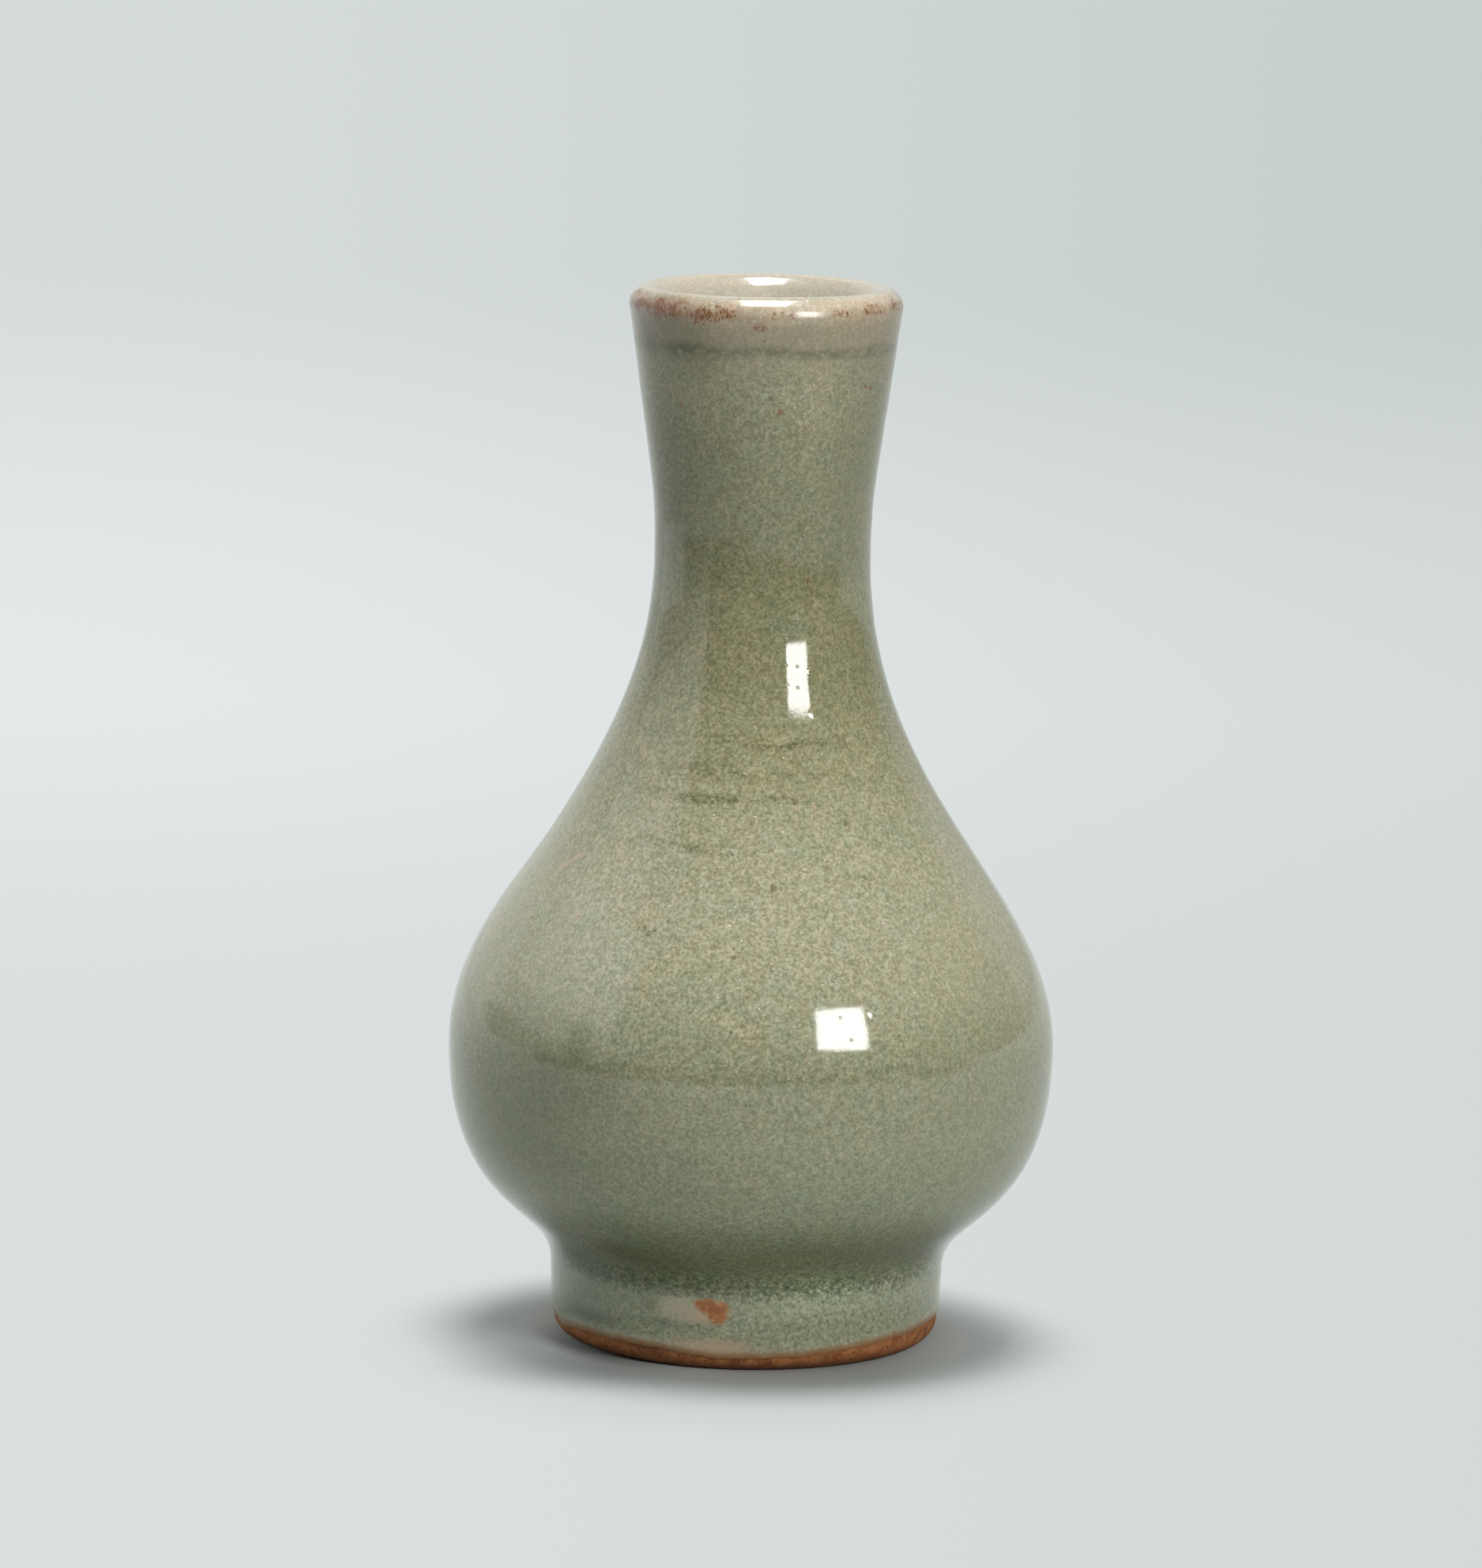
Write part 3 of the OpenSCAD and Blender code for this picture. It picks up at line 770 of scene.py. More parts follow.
# Place, reach across and upwards, tint.
PAINTED_SHADE_LIGHT_AND_GLAZE_TINTS = (
    # Painted shade: darker on the left of the neck, under the lip, on the lower belly, on the foot and in
    # the cove.
    ((-13.0, -9.0, 114.0), 15.0, 34.0, (0.70, 0.72, 0.67)),
    ((-14.5, -10.5, 134.5), 12.0, 7.0, (0.72, 0.74, 0.73)),
    ((-30.0, -23.0, 32.0), 30.0, 18.0, (0.64, 0.68, 0.64)),
    ((-22.0, -13.0, 7.5), 18.0, 9.0, (0.58, 0.66, 0.63)),
    ((-13.0, -23.0, 13.0), 17.0, 8.0, (0.75, 0.78, 0.73)),
    # Lighter on the right of the cove.
    ((9.0, -25.5, 11.5), 13.0, 6.0, (1.18, 1.19, 1.17)),
    # Painted light: lighter on the right under the lip and on the right of the lip.
    ((6.0, -14.8, 128.0), 7.0, 8.0, (1.15, 1.13, 1.15)),
    ((13.0, -11.5, 136.5), 11.0, 6.0, (1.10, 1.07, 1.05)),
    # Glaze colour: a browner smudge by the dark line at the left.
    ((-8.6, -15.0, 133.0), 7.0, 7.0, (0.77, 0.76, 0.69)),
    # Painted shade: darker on the left of the lip.
    ((-13.5, -11.5, 138.0), 9.0, 3.0, (0.70, 0.67, 0.63)),
    # Paler and cooler at the front of the lip, under the crest.
    ((5.0, -17.3, 138.0), 11.0, 2.2, (1.28, 1.31, 1.36)),
    # Painted shade: darker at the right edge of the neck below the lip.
    ((16.5, -6.5, 130.0), 8.0, 13.0, (0.84, 0.84, 0.81)),
    # Painted shade: darker on the left of the belly.
    ((-22.0, -33.0, 40.0), 15.0, 7.0, (0.81, 0.81, 0.81)),
    # Glaze colour: a small dark brownish spot on the left of the belly.
    ((-22.0, -32.6, 45.0), 4.2, 4.6, (0.74, 0.76, 0.70)),
    # Painted shade: darker on the left above the cove and on the front left of the lower belly.
    ((-19.0, -24.0, 19.0), 12.0, 5.0, (0.84, 0.86, 0.83)),
    ((-9.0, -36.0, 30.0), 13.0, 12.0, (0.88, 0.88, 0.87)),
    # A little bluer on the left of the shoulder.
    ((-27.0, -27.0, 52.0), 22.0, 22.0, (0.98, 1.01, 1.05)),
    # Glaze colour: a small greener place on the right of the cove.
    ((10.5, -23.8, 11.5), 8.0, 3.0, (0.92, 1.05, 1.02)),
)


def height_wash(place):
    """The wash of colour by height, with wavering borders, a warm place on the neck, and tints that are
    mostly painted shade and painted light by side.
    """
    height = axis_of(place, "Z")
    lean = spot(place, *SAG_SIDE) * SAG - step(axis_of(place, "X"), *RIGHT_SIDE) * RIGHT_RISE
    wavering = shaken(height, noise(place, 4.0, detail=3.0, roughness=0.6), WAVER)
    wavering = wavering + lean * (1 - step(height, *LEAN_END))
    stops = [(z / LIP_TOP_Z, colour) for z, colour in WASH]
    wash = place.node("ShaderNodeValToRGB", {"stops": stops}, {0: wavering / LIP_TOP_Z})
    wash = blend(spot(place, *WARM_SIDE) * WARM_SHARE, wash, NECK_TAN)
    for centre, across, high, tint in PAINTED_SHADE_LIGHT_AND_GLAZE_TINTS:
        wash = tinted(wash, spot(place, centre, across, high), NO_TINT, tint)
    return wash


print("Colours in the wash:", len(WASH), "and side tints:", len(PAINTED_SHADE_LIGHT_AND_GLAZE_TINTS))

# %% [markdown]
# Over the wash lie the mottles. Fine ones are half a millimetre to a millimetre across, from
# bubbles and undissolved grains in the glaze. Larger patches and clouds shift the colour between
# blue-green and tan. Each is a noise turned into a share by a smooth step, and the share picks a
# tint between two that multiplies the colour, so the wash keeps its own mean.

# %% Mottles and clouds
# Grain, detail, roughness, shift, limits of the share, dark tint, pale tint.
MOTTLES = (
    (6.00, 4.0, 0.60, (0, 0, 0), (0.35, 0.65), (0.97, 0.99, 1.00), (1.03, 1.01, 0.99)),
    (2.00, 3.0, 0.60, (7, 3, 5), (0.35, 0.65), (0.94, 0.99, 0.985), (1.06, 1.01, 1.005)),
    (1.00, 3.0, 0.75, (1, 4, 6), (0.32, 0.68), (0.86, 0.87, 0.83), (1.14, 1.13, 1.17)),
    (0.46, 2.0, 0.80, (2, 9, 4), (0.30, 0.70), (0.70, 0.705, 0.63), (1.30, 1.295, 1.38)),
)
GRAIN_CORE, CHANCE_EDGE = 0.4, 0.01


def mottled(place, plain, strength=1.0):
    """Lays clouds, patches and a fine grain on a plain colour, in full or by a share of their strength."""
    colour = plain
    for grain, detail, roughness, shift, limits, dark, pale in MOTTLES:
        share = step(noise(place, grain, detail, roughness, shift=shift), *limits)
        colour = tinted(colour, share, dark, pale)
    return blend(strength, plain, colour)


def grains(place, cell, size, share, shift=(0, 0, 0)):
    """Sparse round grains: one may lie in each cell, and only the given share of cells has one."""
    moved = place.node("ShaderNodeMapping", None, {0: place, "Location": shift, "Scale": (1 / cell,) * 3})
    inputs = {"Vector": moved, "Scale": 1.0}
    distance = place.node("ShaderNodeTexVoronoi", None, inputs, "Distance")
    chance = place.node("ShaderNodeTexVoronoi", None, inputs, "Color")
    chosen = step(axis_of(chance, "X"), 1 - share - CHANCE_EDGE, 1 - share + CHANCE_EDGE)
    return (1 - step(distance, GRAIN_CORE * size / cell, size / cell)) * chosen


print("Sizes of the mottles in mm:", [row[0] for row in MOTTLES])

# %% [markdown]
# Some marks have their own place on the vase. Where the neck was joined to the shoulder, the glaze
# has settled in a few broken dark rings, and a faint one circles the belly. Under the lip runs a
# dark green line, and on the lip the clay has bled through in red-brown specks, thickest at the
# front left. Rings are bands of height, broken by noise that is stretched round the pot and kept to
# one side by a wide spot. Specks are noise above a threshold, which spots along the lip bring down.

# %% Rings and lip marks
RING_TINT, RING_SHAKE = (0.50, 0.49, 0.38), 3.0
# Height, width, strength, angle from the front, reach round that side.
NECK_RINGS = (
    (75.6, 1.1, 1.0, -14, 22), (78.6, 1.3, 0.6, -8, 20), (82.4, 1.2, 0.9, 5, 22),
    (69.6, 1.1, 0.9, -23, 15), (79.0, 3.6, 0.3, -8, 28), (42.0, 1.2, 0.3, 10, 60),
)
LINE_GREEN = paint(80, 82, 56)
LINE_Z, LINE_W, LINE_SHAKE, LINE_SHARE = 132.9, 1.4, 2.2, 0.6
SMUDGE = ((-10.1, -14.2, 132.8), 5.0, 2.2)
RUST, RUST_BLUSH = paint(118, 68, 28), paint(178, 140, 108)
MOST_RUST, RUST_PULL, GROUP_PULL = 0.95, 0.17, 0.13
SPECK_SHARE, BLUSH_SHARE, BLUSH_SHAKE = 0.9, 0.4, 0.8
# Place, reach across and upwards, strength.
RUST_CLUSTERS = (
    ((-17.4, -3.6, 138.8), 3.8, 1.8, 1.4), ((-16.4, -6.8, 138.3), 3.8, 2.0, 1.4),
    ((-14.0, -10.8, 137.8), 3.8, 1.9, 1.3), ((-11.2, -13.8, 138.0), 3.8, 2.0, 1.0),
    ((-8.1, -16.0, 137.5), 3.6, 2.2, 0.85), ((-5.0, -17.1, 138.1), 3.0, 1.7, 0.9),
    ((-0.8, -17.8, 136.3), 1.8, 0.9, 0.9), ((2.0, -17.6, 137.9), 4.4, 1.3, 0.4),
    ((9.8, -14.8, 137.9), 3.4, 1.4, 0.4), ((13.8, -11.4, 138.2), 3.8, 1.7, 0.5),
    ((16.8, -5.8, 138.4), 3.6, 1.7, 0.6),
)


def ringed(place, colour):
    """Lays the broken dark rings of the shoulder and the belly on a colour."""
    height = shaken(axis_of(place, "Z"), noise(place, 12.0), RING_SHAKE)
    streaks = step(noise(place, 1.3, 3.0, 0.6, stretch=(3, 3, 0.8)), 0.36, 0.54)
    crumbs = step(noise(place, 0.4, 3.0, 0.7, stretch=(1.5, 1.5, 0.9)), 0.38, 0.56)
    for ring_z, ring_w, strength, angle, reach in NECK_RINGS:
        side = spot(place, on_wall(angle, ring_z), reach, reach)
        share = band(height, ring_z, ring_w) * streaks * crumbs * side
        colour = tinted(colour, share * strength, NO_TINT, RING_TINT)
    return colour


def lip_marked(place, colour):
    """Lays the dark line and the rust of the lip on a colour."""
    height = shaken(axis_of(place, "Z"), noise(place, 5.0, 3.0, 0.6), LINE_SHAKE)
    broken = step(noise(place, 0.9, 3.0, 0.6, stretch=(1.6, 1.6, 1.0)), 0.25, 0.6) * LINE_SHARE
    dark = (band(height, LINE_Z, LINE_W) + spot(place, *SMUDGE)) * broken
    colour = blend(dark, colour, LINE_GREEN)
    clots = noise(place, 0.36, 3.0, 0.7, stretch=(0.8, 0.8, 1.8), shift=(3, 1, 8))
    groups = step(noise(place, 1.5, shift=(6, 2, 1)), 0.38, 0.62)
    rusty = sum(spot(place, *where) * strength for *where, strength in RUST_CLUSTERS)
    rusty = rusty.math("MINIMUM", rusty, MOST_RUST)
    colour = blend(step(shaken(rusty, clots, BLUSH_SHAKE), 0.0, 1.2) * BLUSH_SHARE, colour, RUST_BLUSH)
    specks = step(clots + rusty * RUST_PULL + groups * GROUP_PULL, 0.62, 0.76) * step(rusty, 0.05, 0.4)
    return blend(specks * SPECK_SHARE, colour, RUST)


print("Rings at heights:", [ring[0] for ring in NECK_RINGS], "clusters of rust:", len(RUST_CLUSTERS))

# %% [markdown]
# A few grains can be told apart one by one: rusty ones on the neck, where iron in the clay has burnt
# through, pink and dark ones on the shoulder and the belly. Each has its own place, given as a potter
# would point at it: an angle from the front, a height and a size. The wall's outline turns that into
# a point, and a grain is a soft dot round the point.

# %% Single grains
IRON_RED, IRON_DARK, CLAY_PINK = paint(120, 68, 46), paint(82, 68, 40), paint(196, 172, 146)
# Angle from the front, height, size.
RED_GRAINS = (
    (7.5, 125.2, 0.6), (54.5, 127.9, 0.6), (51, 128.1, 0.45), (25.5, 102.8, 0.45),
    (-11.5, 112.3, 0.45), (-42, 125.3, 0.5), (3, 126.9, 0.4), (-20, 126.5, 0.45),
)
DARK_GRAINS = (
    (-25.3, 59.6, 0.5), (-24, 58.9, 0.6), (-23, 59.3, 0.4), (-37, 60.1, 0.5), (-4, 56.8, 0.5),
    (13, 75.2, 0.7), (29, 72.4, 0.7), (-1, 52.1, 0.5), (30, 65.8, 0.5), (5, 65.0, 0.6),
)
PINK_GRAINS = (
    (-61, 64.8, 0.9), (-59, 65.4, 0.9), (-56.5, 66.2, 0.9), (-54.5, 66.9, 0.8), (-45, 60.1, 0.7),
    (-33, 69.9, 0.5), (-30.5, 65.0, 0.5), (5, 65.9, 0.5), (13, 74.4, 0.6), (19, 74.6, 0.6),
)
SINGLE_GRAINS = ((IRON_RED, 0.65, RED_GRAINS), (IRON_DARK, 0.5, DARK_GRAINS), (CLAY_PINK, 0.6, PINK_GRAINS))
DOT_CORE, TEAR_GRAIN, TEAR = 0.3, 0.5, 0.45


def dot(place, centre, size):
    """1 at a point, falling smoothly to 0 at a distance of one size."""
    return 1 - step(place.vector("DISTANCE", centre), DOT_CORE * size, size)


def grained(place, colour):
    """Lays the single grains on a colour, with torn edges."""
    torn = ragged(place, TEAR_GRAIN, TEAR)
    for tone, strength, places in SINGLE_GRAINS:
        share = sum(dot(torn, on_wall(angle, z), size) for angle, z, size in places)
        colour = blend(step(share, 0.0, 0.9) * strength, colour, tone)
    return colour


print("Single grains:", sum(len(group[-1]) for group in SINGLE_GRAINS))

# %% [markdown]
# The foot has its own story. Where the cove ends, the dark glaze breaks up into flecks and pale
# specks. On the wall a finger-wide place was left thin: one spot is bare and burnt orange, and
# beside it the glaze is milky. At the lower edge the coat thins to brown, and that follows the
# wavering edge itself, through the measure that the mesh carries. Each patch is a spot with a torn
# outline, which is easier to move about than a painted picture and is sharp at any distance.

# %% Foot marks
FLECK_GREEN, SMUDGE_BROWN = paint(80, 89, 66), paint(104, 92, 62)
BURNT_ORANGE, BURNT_BROWN, BURNT_PALE = paint(196, 122, 44), paint(150, 88, 34), paint(172, 134, 90)
MILKY, MILKY_BROWN = paint(182, 168, 142), paint(198, 170, 138)
EDGE_BROWN, EDGE_SHAKE = paint(172, 122, 78), 1.6
FLECK_BANDS, FLECK_TOP_Z, FLECK_SHARE = ((11.0, 2.6, 0.16), (6.0, 4.5, 0.06)), 12.8, 0.72
BORDER_Z, BORDER_W = 11.8, 3.2
BORDER_TINTS = (0.55, 0.58, 0.50), (1.45, 1.42, 1.50)
BARE_SPOTS = (((-5.2, -25.6, 9.0), 2.2, 1.5), ((-3.5, -25.9, 8.2), 2.5, 2.5))
PALE_SHARE, CHAR_PULL, BARE_SHAKE = 0.8, 0.3, 1.2
# Place, reach across and upwards, strength, colour.
MILKY_SPOTS = (
    ((-8.4, -24.7, 8.1), 5.2, 3.0, 0.7, MILKY),
    ((-5.6, -25.3, 7.2), 2.6, 1.5, 0.6, MILKY_BROWN),
    ((-4.4, -25.6, 3.5), 8.5, 2.0, 0.7, MILKY_BROWN),
)
DARK_SPOTS = (
    ((-12.4, -23.0, 8.5), 2.4, 1.5, 0.6, SMUDGE_BROWN),
    ((-20.6, -15.8, 5.2), 8.0, 1.6, 0.5, FLECK_GREEN),
    ((-21.5, -16.0, 13.4), 8.0, 4.0, 0.5, FLECK_GREEN),
    ((-10.0, -24.0, 6.0), 9.0, 1.0, 0.4, FLECK_GREEN),
)


def cove_broken(place, colour, grain):
    """Breaks the lower border of the dark cove into flecks of green and a fine speckle."""
    height = axis_of(place, "Z")
    breaking = sum(band(height, centre, width) * pull for centre, width, pull in FLECK_BANDS)
    flecks = step(grain + breaking, 0.56, 0.76) * step(FLECK_TOP_Z - height, 0.0, 1.5)
    colour = blend(flecks * FLECK_SHARE, colour, FLECK_GREEN)
    speckle = step(noise(place, 0.55, 2.0, 0.7, shift=(8, 2, 2)), 0.36, 0.64) - 0.5
    return tinted(colour, 0.5 + speckle * band(height, BORDER_Z, BORDER_W), *BORDER_TINTS)


def foot_marked(place, colour):
    """Lays the flecks, the milky and dark patches, the bare spot and the thin brown edge on a colour."""
    torn = ragged(place, 1.3, 0.8)
    grain = noise(place, 0.6, 3.0, 0.7, shift=(5, 5, 1))
    colour = cove_broken(place, colour, grain)
    for *where, strength, tone in MILKY_SPOTS:
        colour = blend(step(spot(torn, *where), 0.0, 0.8) * strength, colour, tone)
    for *where, strength, tone in DARK_SPOTS:
        colour = blend(spot(torn, *where) * strength, colour, tone)
    bare = sum(spot(torn, *where) for where in BARE_SPOTS)
    colour = blend(step(bare, 0.05, 0.5) * PALE_SHARE, colour, BURNT_PALE)
    burnt = blend(step(grain + bare * CHAR_PULL, 0.50, 0.86), BURNT_ORANGE, BURNT_BROWN)
    colour = blend(step(shaken(bare, grain, BARE_SHAKE), 0.25, 0.7), colour, burnt)
    rise = place.node("ShaderNodeAttribute", {"attribute_name": "above_edge"}, None, "Fac")
    return blend(1 - step(shaken(rise, grain, EDGE_SHAKE), -0.1, 1.5), colour, EDGE_BROWN)


print("Bare spots:", len(BARE_SPOTS), "milky patches:", len(MILKY_SPOTS), "dark ones:", len(DARK_SPOTS))

# %% [markdown]
# The green coat puts these layers together. The mottle is calmer at the lip, at the sides and in
# two smooth places. The gloss has a roughness below a tenth, a little more on the lip, and the skin
# is very slightly uneven: soft waves a few millimetres across, a fine orange-peel, sparse pinholes
# and three small blisters. They are too small to model, so a bump gives them, in millimetres.

# %% Celadon glaze
GLAZE_GLOSS, GLAZE_IOR = 0.07, 1.6
LIP_DULL_Z, LIP_DULL_W, LIP_DULL = 137.9, 1.6, 0.18
CALM_LIP, CALM_LIP_SHARE = (127.0, 134.5), 0.5
CALM_SIDES, CALM_SIDES_SHARE = (12.0, 32.0), 0.28
CALM_LOW_RISE, CALM_LOW_FALL, CALM_LOW_SHARE = (9.0, 14.0), (28.0, 46.0), 0.1
CALM_SPOTS = (((13.0, -8.0, 112.0), 10.0, 30.0, 0.35), ((-22.0, -14.0, 7.0), 15.0, 9.0, 0.6))
# Cell, size, share of the cells that have one, shift, strength, colour.
SPARSE_GRAINS = (
    (2.4, 0.30, 0.25, (0, 0, 0), 0.55, paint(92, 88, 58)),
    (2.6, 0.36, 0.28, (4, 8, 1), 0.50, paint(190, 166, 136)),
)
BLISTERS, BLISTER_SIZE, BLISTER_RISE = ((24.7, 91.1), (24.2, 85.9), (24.3, 49.9)), 0.8, 0.06
SWELL_GRAIN, PEEL_GRAIN, PINHOLES = 5.0, 0.5, (1.3, 0.26, 0.28, (1, 5, 9))
CELADON_SKIN, LINING_SKIN, BASE_SKIN = (0.02, 0.0035, 0.05), (0.02, 0.004, 0.02), (0.03, 0.01, 0.03)


def glaze_skin(place, swell, peel, pits):
    """The uneven skin of a glaze, from the heights of its waves, orange-peel and pinholes."""
    height = noise(place, SWELL_GRAIN) * swell + noise(place, PEEL_GRAIN, 3.0, 0.65) * peel
    return height - grains(place, *PINHOLES) * pits


def calmness(place):
    """Share of the mottle's strength: less at the lip, the sides, the low belly and two smooth places."""
    height = axis_of(place, "Z")
    low = step(height, *CALM_LOW_RISE) * (1 - step(height, *CALM_LOW_FALL))
    share = (1 - step(height, *CALM_LIP) * CALM_LIP_SHARE) * (1 - low * CALM_LOW_SHARE)
    share = share * (1 - step(abs(axis_of(place, "X")), *CALM_SIDES) * CALM_SIDES_SHARE)
    for *where, less in CALM_SPOTS:
        share = share * (1 - spot(place, *where) * less)
    return share


def celadon_glaze():
    """The outer glaze: wash, mottles, marks, sparse grains and a lightly pitted gloss."""
    material, place = start_finish("celadon_glaze")
    colour = mottled(place, height_wash(place), calmness(place))
    for marked in (ringed, grained, lip_marked, foot_marked):
        colour = marked(place, colour)
    for cell, size, share, shift, strength, tone in SPARSE_GRAINS:
        colour = blend(grains(place, cell, size, share, shift) * strength, colour, tone)
    gloss = band(axis_of(place, "Z"), LIP_DULL_Z, LIP_DULL_W) * LIP_DULL + GLAZE_GLOSS
    blisters = sum(dot(place, on_wall(angle, z), BLISTER_SIZE) for angle, z in BLISTERS)
    skin = skin_of(place, glaze_skin(place, *CELADON_SKIN) + blisters * BLISTER_RISE)
    finish_with(place, {"Base Color": colour, "Roughness": gloss, "IOR": GLAZE_IOR, "Normal": skin})
    return material


finishes = {"celadon_glaze": celadon_glaze()}
print("Nodes in the green glaze:", len(finishes["celadon_glaze"].node_tree.nodes))

# %% [markdown]
# ## The other glazes
#
# The lining is the same glaze over a paler body, so it is cream, and at the lip it takes the colour
# of the crest. The base has a thin even coat, a little less glossy. Both use the words of the green
# glaze again, so that the three coats look like one kiln's work.

# %% Lining and base
LINING_CREAM, LINING_PALE = paint(192, 188, 169), paint(198, 193, 174)
LINING_LIP, LINING_MOTTLE = (136.0, 140.0), 0.35
BASE_GREEN, BASE_TAN, BASE_GLOSS = paint(150, 156, 130), paint(166, 162, 134), 0.16


def lining_glaze():
    """Cream glaze with soft clouds, which meets the lip in its colour."""
    material, place = start_finish("lining_glaze")
    inside = blend(step(noise(place, 6.0, 3.0), 0.4, 0.6), LINING_CREAM, LINING_PALE)
    colour = blend(step(axis_of(place, "Z"), *LINING_LIP), inside, CREST_CREAM)
    colour = mottled(place, colour, LINING_MOTTLE)
    skin = skin_of(place, glaze_skin(place, *LINING_SKIN))
    finish_with(place, {"Base Color": colour, "Roughness": GLAZE_GLOSS, "IOR": GLAZE_IOR, "Normal": skin})
    return material


def base_celadon_glaze():
    """Pale celadon under the base."""
    material, place = start_finish("base_celadon_glaze")
    colour = mottled(place, blend(step(noise(place, 6.0), 0.4, 0.6), BASE_GREEN, BASE_TAN))
    skin = skin_of(place, glaze_skin(place, *BASE_SKIN))
    finish_with(place, {"Base Color": colour, "Roughness": BASE_GLOSS, "IOR": GLAZE_IOR, "Normal": skin})
    return material


finishes["lining_glaze"] = lining_glaze()
finishes["base_celadon_glaze"] = base_celadon_glaze()
print("Glazes:", sorted(finishes))

# %% [markdown]
# ## Clay and slip
#
# The bare clay of the foot burnt to orange and brown in the kiln, dry and pitted, and its standing
# edge is scorched dark. The clay and the slip inside the walls never show, but each has its own
# finish. One function serves all three, because they differ in their colours alone.

# %% Clay and slip
CLAY_COLOURS = {
    "burnt_foot_clay": (paint(190, 128, 78), paint(146, 86, 46), paint(66, 42, 30)),
    "stoneware_clay": (paint(206, 190, 164), paint(188, 170, 142), paint(120, 96, 74)),
    "luting_slip": (paint(190, 166, 132), paint(176, 150, 116), paint(126, 104, 80)),
}
CLAY_ROUGHNESS, CLAY_IOR = 0.85, 1.45
IRON_GRAINS, IRON_SHARE = (1.2, 0.3, 0.4), 0.7
CLAY_PITS, PIT_DEPTH, GRIT_HEIGHT = (1.1, 0.3, 0.3, (3, 3, 3)), 0.12, 0.10
SCORCH, SCORCH_SHAKE, SCORCH_SHARE, SMOKE_SHARE = (0.2, 1.5), 1.8, 0.6, 0.35


def bare_clay(name, pale, dark, char):
    """Dry fired clay: two colours in clouds, dark iron grains, scorch and smoke and a gritty skin."""
    material, place = start_finish(name)
    colour = blend(step(noise(place, 1.8, 4.0, 0.7), 0.35, 0.65), pale, dark)
    colour = blend(grains(place, *IRON_GRAINS) * IRON_SHARE, colour, char)
    smoked = step(noise(place, 7.0, 3.0, 0.6, shift=(2, 0, 0)), 0.45, 0.7)
    height = shaken(axis_of(place, "Z"), noise(place, 0.9, 3.0, 0.7), SCORCH_SHAKE)
    scorched = 1 - step(height, *SCORCH)
    colour = blend(scorched * SCORCH_SHARE + smoked * (1 - scorched) * SMOKE_SHARE, colour, char)
    grit = noise(place, 0.4, 3.0, 0.65) * GRIT_HEIGHT
    skin = skin_of(place, grit - grains(place, *CLAY_PITS) * PIT_DEPTH)
    finish_with(place, {"Base Color": colour, "Roughness": CLAY_ROUGHNESS, "IOR": CLAY_IOR, "Normal": skin})
    return material


for clay_name, clay_tones in CLAY_COLOURS.items():
    finishes[clay_name] = bare_clay(clay_name, *clay_tones)
print("Finishes:", sorted(finishes))

# %% [markdown]
# ## Putting the pieces in the frame
#
# Each new coat rides on the vase's one body and stands for its CAD solid, which is then hidden. The
# solids that stay, the clay sections and the slip, get their finish in their own material slot.

# %% Ride, replace and finish
new_pieces = {
    "outer_glaze": (outer_glaze, "celadon_glaze"),
    "inner_glaze": (inner_glaze, "lining_glaze"),
    "base_glaze": (base_glaze, "base_celadon_glaze"),
    "foot_ring": (foot_ring, "burnt_foot_clay"),
}
for node_name, (piece, slot_name) in new_pieces.items():
    piece.data.materials.append(finishes[slot_name])
    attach(piece, "root")
    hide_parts(node_name)

kept_slots = {row["node"]: row["material_slot"] for row in frame["record"]["subparts"]}
for node_name, node in frame["nodes"].items():
    if node_name not in new_pieces:
        node.data.materials.clear()
        node.data.materials.append(finishes[kept_slots[node_name]])
print("Kept solids:", sorted(set(frame["nodes"]) - set(new_pieces)))

# %% [markdown]
# ## The floor
#
# The vase stands on a wide pale floor, a flat disc with rings of faces that grow outwards. Near the vase it
# is plain matt paint and keeps the shadow. A painted shadow darkens the paint at the left of the foot,
# where the photographed shadow is deepest, and in a thin ring where the foot touches the floor. At the
# sides, part of the backdrop's glow is mixed in nearer the vase, a painted light that pales the shadow
# there. Further out the floor turns into an even pale backdrop, which the camera and the gloss see, paler
# in the middle distance and on the left.
#
# For the gloss alone the table ends a little over half a metre in front of the vase, and the dim
# room begins there. So the lower belly mirrors the pale table, and the wall above it the room.

# %% Floor
FLOOR_RINGS, FLOOR_COLUMNS = (8000.0, 4000.0, 2000.0, 800.0, 300.0, 100.0), 96
SHADE_MIDDLE, SHADE_EDGE = (-1.8, -13.0, 0.0), (0.0337, 0.0540)
SIDE_PAINTED_LIGHT_EDGE, SIDE_PAINTED_LIGHT = (14.6, 34.6), 0.165
FLOOR_GREY, FLOOR_PAINTED_SHADOW = (0.56, 0.59, 0.58, 1.0), (0.17, 0.18, 0.175, 1.0)
FLOOR_ROUGHNESS, FLOOR_SHINE = 0.9, 0.1
PAINTED_CONTACT_SHADOW_EDGE, PAINTED_CONTACT_SHADOW_SIDE = (25.5, 30.0), ((-22.0, -13.5, 0.0), 20.0, 20.0)
PAINTED_SHADOW_SIDE, PAINTED_SHADOW_SHARE = ((-25.0, -26.0, 0.0), 20.0, 20.0, 16.0), 0.42
BACKDROP_LEFT = paint(218, 224, 223), paint(228, 234, 234), paint(213, 220, 219)
BACKDROP_RIGHT = paint(212, 218, 216), paint(214, 220, 218), paint(198, 206, 203)
MIDDLE_DEPTH, DISTANT_DEPTH = (0.2, 0.57), (0.5, 1.5)
FAN_FRONT, FAN_LEAST, FAN_SIDES = 1000.0, 300.0, (-0.10, 0.12)
